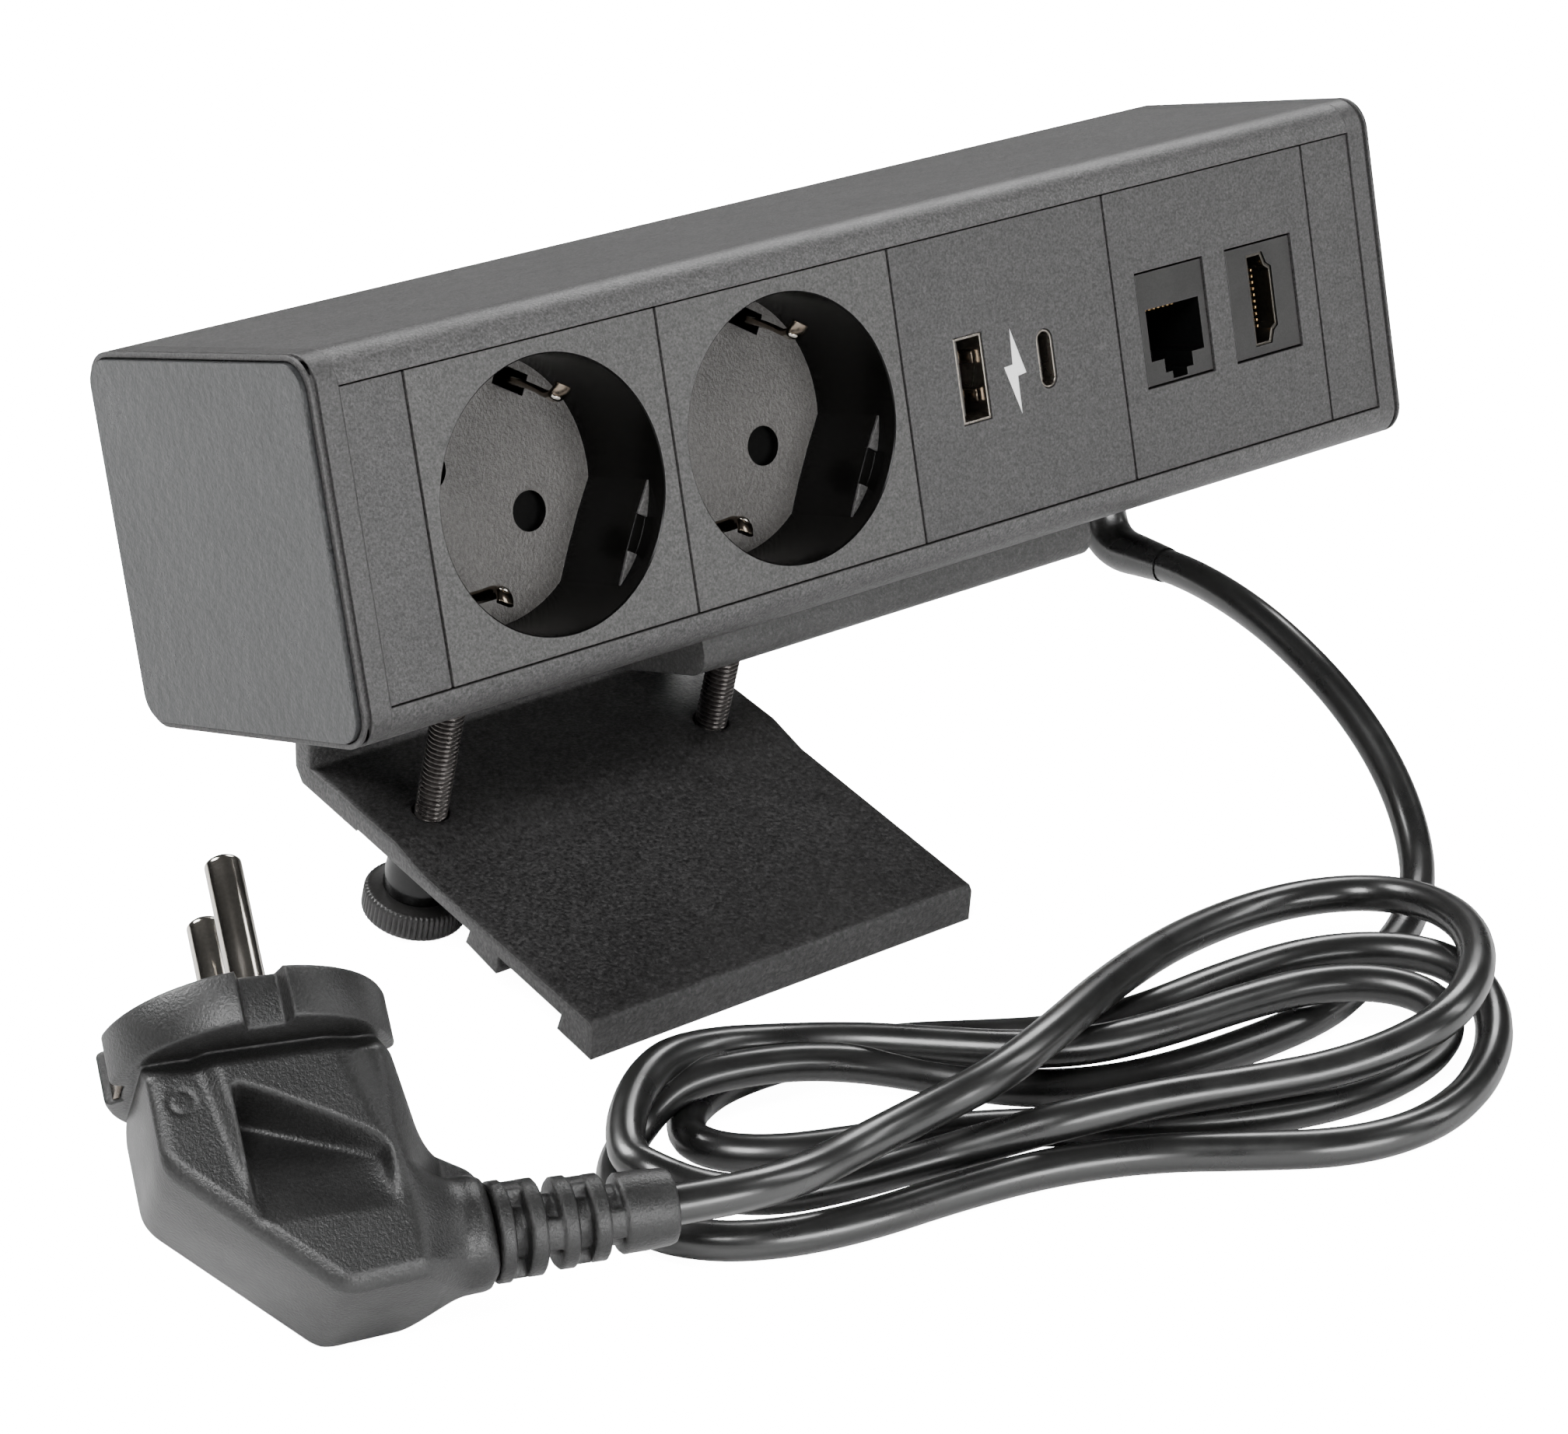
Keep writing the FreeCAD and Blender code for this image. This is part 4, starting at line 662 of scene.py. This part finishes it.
def knurl(angle, radius, z):
    """Straight flutes round the knob's rim, fading into its rounded edges."""
    if radius < KNOB_R - 0.98:
        return 0.0
    fade = min(1.0, (z - KNOB_LOW) / 0.7, (KNOB_TOP - z) / 0.7)
    return -FLUTE_DEEP * fade * (0.5 + 0.5 * math.cos(FLUTES * angle)) ** 1.6


def thumb_knob(side):
    half = [(6.9, 0.0), (7.5, 0.12), (7.88, 0.5), (KNOB_R, 0.9)]
    rim = [(3.0, KNOB_LOW), *((r, KNOB_LOW + rise) for r, rise in half), (KNOB_R, KNOB_LOW + 2.2),
           *((r, KNOB_TOP - rise) for r, rise in reversed(half)), (5.6, KNOB_TOP)]
    make = Builder().lathe(rim, FLUTES * 6, ripple=knurl)
    make.piece(f"{side}_knurled_knob", screw_frame(side), "knob_plastic", f"{side}_screw",
               "knob_plastic", replaces=(f"{side}_knob",), smooth=35)


def knob_collar(side):
    """The collar pressed onto the rod above the knob, slightly narrower towards the bracket."""
    outside = [(5.0, 0.02), (5.25, 0.4), (5.3, 2.4), (5.24, 4.2), (5.1, 5.2), (4.85, 7.2)]
    shape = [(COLLAR_BORE, KNOB_TOP + 0.02), *((r, KNOB_TOP + rise) for r, rise in outside),
             (4.6, NECK_TOP - 0.6), (4.3, NECK_TOP - 0.1), (3.9, NECK_TOP),
             (COLLAR_BORE, NECK_TOP)]
    make = Builder().lathe(shape, 64, caps=False)
    make.piece(f"{side}_pressed_collar", screw_frame(side), "collar_plastic", f"{side}_screw",
               "knob_plastic", replaces=(f"{side}_collar",), smooth=35)


for side in ("left", "right"):
    screw_thread(side)
    thumb_knob(side)
    knob_collar(side)


# ------------------------------------------------------------------ the plug

# The body's outline is (x, z) in the plug's frame: Z towards the pins, X towards the cord.
DISC_R, DISC_LOW, DISC_STEPS = 18.5, -7.2, 144
KEYWAY_HALF, KEYWAY_FLOOR = 3.1, 15.8
EARTH_HALF, EARTH_FLOOR = 2.7, 16.4
BACK_CORNER, LOW_CORNER, NECK_CORNER = (-15.2, -22.0), (3.7, -41.0), (25.5, -39.4)
BODY_OUTLINE = [(-15.2, -6.6), (15.6, -6.6), (18.6, -20.4), (25.5, -24.9), NECK_CORNER,
                LOW_CORNER, BACK_CORNER]
BODY_CORNER_R = 2.2
BODY_MIDDLE = Vector((4.0, -25.0))
BODY_RINGS = 56
RIM_START = 0.88
HALF_WIDE, HUMP, RIM_ROUND = 13.0, 1.4, 1.0
LOW_CHAMFER, UNDERCUT = 2.0, 2.6
NECK_R, NECK_FROM, NECK_TO = 7.45, 13.5, 22.0
GRIP_LEFT, GRIP_TIP, GRIP_DEEP = -4.6, 13.0, 9.0
MOULD_RING_AT, MOULD_RING_R = (-11.4, -13.8), 1.5


def rounded_ring(corners, radius, per_corner=8, per_side=42):
    """A closed outline with rounded corners, sampled evenly along its sides."""
    ring = []
    count = len(corners)
    for i, corner in enumerate(corners):
        here = Vector(corner)
        before, after = Vector(corners[i - 1]), Vector(corners[(i + 1) % count])
        back, ahead = (before - here).normalized(), (after - here).normalized()
        reach = min(radius, 0.4 * (before - here).length, 0.4 * (after - here).length)
        first, last = here + back * reach, here + ahead * reach
        for k in range(per_corner + 1):
            t = k / per_corner
            ring.append(first * (1 - t) ** 2 + here * 2 * t * (1 - t) + last * t ** 2)
        stop = after - ahead * min(radius, 0.4 * (after - here).length)
        for k in range(1, per_side):
            ring.append(last.lerp(stop, k / per_side))
    return ring


def line_distance(point, a, b):
    """How far a point is to the left of the line from a to b."""
    a, b = Vector(a), Vector(b)
    along = (b - a).normalized()
    side = point - a
    return along.x * side.y - along.y * side.x


def smooth_step(value, low, high):
    t = min(1.0, max(0.0, (value - low) / (high - low)))
    return t * t * (3 - 2 * t)


def grip_depth(p):
    """The finger grip: a steep wall under a sloping lip, then a floor that rises back out."""
    share = min(1.0, max(0.0, (p.x - GRIP_LEFT) / (GRIP_TIP - GRIP_LEFT)))
    below_lip = -12.4 - 10.0 * share ** 1.1 - p.y
    wall = smooth_step(below_lip, 0.0, 2.4)
    rise = min(1.0, max(0.0, (below_lip - 3.0) / (16.0 - 10.0 * share)))
    side = smooth_step(p.x, GRIP_LEFT - 0.8, GRIP_LEFT + 0.6)
    end = 1 - smooth_step(p.x, 11.5, 13.5)
    return GRIP_DEEP * (1 - share) ** 0.6 * wall * (1 - rise) ** 1.3 * side * end


def hump_share(p):
    """1 on the raised panel under the face disc, 0 on the lower ground around it."""
    under = -8.0 - p.y
    left = smooth_step(p.x + 7.6 - 0.17 * under, -1.8, 1.2)
    right = 1 - smooth_step(p.x - 8.0 - 0.28 * under, -0.6, 4.6)
    return left * right * smooth_step(p.y, -30.0, -22.0)


def half_thickness(p, rim):
    """How far the body's side stands from its middle plane; rim is 0 inside and 1 at the edge."""
    from_edge = min(line_distance(p, BACK_CORNER, LOW_CORNER),
                    line_distance(p, LOW_CORNER, NECK_CORNER))
    wide = HALF_WIDE - 0.5 * max(0.0, LOW_CHAMFER - from_edge)
    wide -= HUMP * (1 - hump_share(p))
    wide -= grip_depth(p)
    wide -= UNDERCUT * smooth_step(p.y, -10.4, -7.4)
    from_ring = math.dist(p, MOULD_RING_AT) - MOULD_RING_R
    wide -= 0.2 * math.exp(-(from_ring / 0.32) ** 2)
    neck = math.sqrt(max(1.0, NECK_R ** 2 - (p.y - RELIEF_Z) ** 2))
    share = smooth_step(p.x, NECK_FROM, NECK_TO)
    wide = wide * (1 - share) + neck * share
    past = max(0.0, (rim - RIM_START) / (1 - RIM_START))
    edge = 1 - math.sqrt(max(0.0, 1 - past ** 2))
    return max(1.2, wide - edge * (RIM_ROUND * (1 - share) + 0.5 * neck * share))


def body_sides(make):
    """Both sides of the plug's body, in rings that grow from its middle, and the seam between."""
    ring = rounded_ring(BODY_OUTLINE, BODY_CORNER_R)
    shares = [0.0, 0.08]
    shares += [0.08 + (RIM_START - 0.08) * (i + 1) / BODY_RINGS for i in range(BODY_RINGS)]
    shares += [0.9, 0.92, 0.94, 0.96, 0.975, 0.99, 1.0]
    for sign in (-1, 1):
        rows = []
        for share in shares:
            inside = [BODY_MIDDLE.lerp(q, max(share, 0.004)) for q in ring]
            rows.append([Vector((p.x, sign * half_thickness(p, share), p.y)) for p in inside])
        make.grid(rows)
    total, count = len(make.points), len(ring)
    for c in range(count):
        d = (c + 1) % count
        near, far = total // 2 - count, total - count
        make.faces.append((near + c, near + d, far + d, far + c))


def face_disc(make):
    """The face disc, flattened at its keyways and at its earth contacts."""
    outline = []
    for a in circle(DISC_STEPS):
        x, y = DISC_R * math.cos(a), DISC_R * math.sin(a)
        if abs(x) < KEYWAY_HALF:
            y = math.copysign(KEYWAY_FLOOR, y)
        if abs(y) < EARTH_HALF:
            x = math.copysign(EARTH_FLOOR, x)
        outline.append((x, y))
    levels = ((DISC_LOW, 0.7), (DISC_LOW + 0.25, 0.2), (DISC_LOW + 0.7, 0.0), (-0.7, 0.0),
              (-0.25, 0.2), (0.0, 0.7))
    rows = []
    for z, inset in levels:
        shrink = 1 - inset / DISC_R
        rows.append([Vector((x * shrink, y * shrink, z)) for x, y in outline])
    make.grid(rows)
    make.cap(rows)


def plug_shell():
    make = Builder()
    body_sides(make)
    face_disc(make)
    return make.piece("plug_shell", PLUG, "plug_plastic", "housing", "plug_plastic",
                      replaces=("plug_body",), smooth=38)


SLEEVE_RINGS = ((25.6, 27.7, 6.5), (29.6, 31.9, 6.2), (33.8, 36.1, 5.9), (38.0, 40.3, 5.6))
SLEEVE_CORE, COLLAR_START = 3.9, 42.2


def bridges(angle, radius, z):
    """Between two rings the sleeve is only two narrow bridges, turned a quarter at each gap."""
    for i, (_, end, outer) in enumerate(SLEEVE_RINGS):
        start = SLEEVE_RINGS[i + 1][0] if i + 1 < len(SLEEVE_RINGS) else COLLAR_START
        if end - 0.01 <= z <= start + 0.01 and radius < SLEEVE_CORE + 0.1:
            off = abs(math.sin(angle - math.radians(35 + 90 * (i % 2))))
            return (outer - 0.35 - radius) * (1 - smooth_step(off, 0.34, 0.46))
    return 0.0


def plug_sleeve():
    """The plug's strain relief: slotted rings that step down to a plain collar."""
    profile = []
    for low, high, radius in SLEEVE_RINGS:
        profile += [(SLEEVE_CORE, low - 0.06), (radius - 0.35, low), (radius, low + 0.35),
                    (radius, high - 0.35), (radius - 0.35, high - 0.06), (SLEEVE_CORE, high)]
    profile += [(SLEEVE_CORE, COLLAR_START - 0.1), (4.9, COLLAR_START),
                (5.2, COLLAR_START + 0.35), (5.15, 45.5), (4.95, 48.6),
                (4.75, RELIEF_END - 0.25), (4.35, RELIEF_END), (2.72, RELIEF_END)]
    make = Builder().lathe(profile, 120, along_x((0, 0, RELIEF_Z)), caps=False, ripple=bridges)
    return make.piece("plug_sleeve", PLUG, "plug_plastic", "housing", "cord_pvc",
                      replaces=("plug_strain_relief",), smooth=35)


PIN_R, PIN_LONG, PIN_APART, PIN_DOME = 2.4, 19.0, 19.0, 1.3


def plug_pin_set():
    """Two plain round pins with rounded ends."""
    make = Builder()
    dome = [(PIN_R * math.cos(t), PIN_LONG - PIN_DOME + PIN_DOME * math.sin(t))
            for t in [math.radians(9 * i) for i in range(10)]]
    for sign in (-1, 1):
        make.lathe([(PIN_R, -0.6), (PIN_R, 0.3), (PIN_R, 8.0), *dome, (0.15, PIN_LONG)], 40,
                   Matrix.Translation((0, sign * PIN_APART / 2, 0)))
    return make.piece("plug_pin_pair", PLUG, "contact_metal", "housing", "contact_metal",
                      replaces=("plug_pins",), smooth=40)


shell, sleeve, pins = plug_shell(), plug_sleeve(), plug_pin_set()


# ------------------------------------------------------------------ where the cord leaves

EXIT_LONG, EXIT_START, EXIT_TIP = 22.0, 4.3, 2.8


def exit_sleeve():
    """The tapered strain relief on the first stretch of the lead, under the housing."""
    rows, gone = [], 0.0
    side = Vector((1.0, 0.0, 0.0))
    for i, at in enumerate(cord_line[:-1]):
        ahead = (cord_line[i + 1] - cord_line[max(i - 1, 0)]).normalized()
        across = (side - ahead * side.dot(ahead)).normalized()
        other = ahead.cross(across)
        gone += (at - cord_line[i - 1]).length / MM if i else 0.0
        if gone > EXIT_LONG:
            break
        radius = EXIT_START + (EXIT_TIP - EXIT_START) * gone / EXIT_LONG
        rows.append([at / MM + (across * math.cos(a) + other * math.sin(a)) * radius
                     for a in circle(36)])
    make = Builder().grid(rows)
    return make.piece("lead_sleeve", Matrix.Identity(4), "cord_pvc", "housing", "cord_pvc",
                      smooth=40)


lead_sleeve = exit_sleeve()
cord.data.materials.append(SURFACES["cord_pvc"])
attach(cord, "housing")
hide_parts("power_cord_lead", "power_cord_hank", "power_cord_tail")


# ------------------------------------------------------------------ floor and light

WHITE_GLOW, FLOOR_GAIN, GLOW_SHARE = 22.0, 14.0, 0.6
FLOOR_REACH, FLOOR_PALE = 20.0, 0.93
SKY_LOW, SKY_HIGH = 0.017, 0.071
# name: (place, what it points at, size, power), in metres and watts
LIGHTS = {"key": ((-0.75, -0.55, 0.8), (-0.04, 0, 0.05), (0.42, 0.42), 13.5),
          "front": ((0.0, -1.6, 0.3), (0, 0, 0.06), (1.0, 0.4), 20.0),
          "side": ((1.2, -0.9, 0.9), (0, -0.05, 0.03), (0.25, 1.0), 8.0),
          "back": ((-0.55, 0.85, 1.0), (-0.03, 0, 0.08), (0.6, 0.6), 25.0),
          "sheen": ((0.75, 0.45, 0.85), (0, -0.06, 0.02), (0.5, 0.35), 7.0)}


def seen_brighter(tree, plain):
    """The camera sees the floor as near white with a faint shadow; other rays see it plain."""
    path = tree.nodes.new("ShaderNodeLightPath")
    glow = tree.nodes.new("ShaderNodeEmission")
    glow.inputs["Strength"].default_value = WHITE_GLOW
    bright = tree.nodes.new("ShaderNodeBsdfDiffuse")
    bright.inputs["Color"].default_value = (FLOOR_GAIN, FLOOR_GAIN, FLOOR_GAIN, 1.0)
    seen, mix = tree.nodes.new("ShaderNodeMixShader"), tree.nodes.new("ShaderNodeMixShader")
    seen.inputs["Fac"].default_value = GLOW_SHARE
    tree.links.new(bright.outputs["BSDF"], seen.inputs[1])
    tree.links.new(glow.outputs["Emission"], seen.inputs[2])
    tree.links.new(path.outputs["Is Camera Ray"], mix.inputs["Fac"])
    tree.links.new(plain, mix.inputs[1])
    tree.links.new(seen.outputs["Shader"], mix.inputs[2])
    return mix.outputs["Shader"]


def plain_floor():
    mesh = bpy.data.meshes.new("floor")
    far = FLOOR_REACH
    mesh.from_pydata([(-far, -far, 0), (far, -far, 0), (far, far, 0), (-far, far, 0)], [],
                     [(0, 1, 2, 3)])
    floor = bpy.data.objects.new("floor", mesh)
    bpy.context.scene.collection.objects.link(floor)
    material = bpy.data.materials.new("floor")
    material.use_nodes = True
    tree = material.node_tree
    shader = tree.nodes["Principled BSDF"]
    shader.inputs["Base Color"].default_value = (FLOOR_PALE, FLOOR_PALE, FLOOR_PALE, 1.0)
    shader.inputs["Roughness"].default_value = 0.9
    shader.inputs["Specular IOR Level"].default_value = 0.1
    tree.links.new(seen_brighter(tree, shader.outputs["BSDF"]),
                   tree.nodes["Material Output"].inputs["Surface"])
    mesh.materials.append(material)


def soft_light(name, at, aim, size, power):
    data = bpy.data.lights.new(name, "AREA")
    data.shape = "RECTANGLE"
    data.size, data.size_y = size
    data.energy = power
    lamp = bpy.data.objects.new(name, data)
    bpy.context.scene.collection.objects.link(lamp)
    lamp.location = at
    lamp.rotation_euler = (Vector(aim) - Vector(at)).to_track_quat("-Z", "Y").to_euler()


def studio():
    """A faint sky that brightens upwards, white to the camera, and five soft lights."""
    world = bpy.data.worlds.new("studio")
    world.use_nodes = True
    sky = world.node_tree.nodes["Background"]
    sky.inputs["Color"].default_value = (1.0, 1.0, 1.0, 1.0)
    tree = world.node_tree
    split = tree.nodes.new("ShaderNodeSeparateXYZ")
    tree.links.new(tree.nodes.new("ShaderNodeTexCoord").outputs["Generated"],
                   split.inputs["Vector"])
    glow = tree.nodes.new("ShaderNodeMath")
    glow.operation = "MULTIPLY_ADD"
    tree.links.new(tree.nodes.new("ShaderNodeLightPath").outputs["Is Camera Ray"],
                   glow.inputs[0])
    glow.inputs[1].default_value = WHITE_GLOW
    tree.links.new(ramp(tree, split.outputs["Z"], 0.0, 0.9, SKY_LOW, SKY_HIGH), glow.inputs[2])
    tree.links.new(glow.outputs["Value"], sky.inputs["Strength"])
    bpy.context.scene.world = world
    for name, details in LIGHTS.items():
        soft_light(name, *details)


plain_floor()
studio()
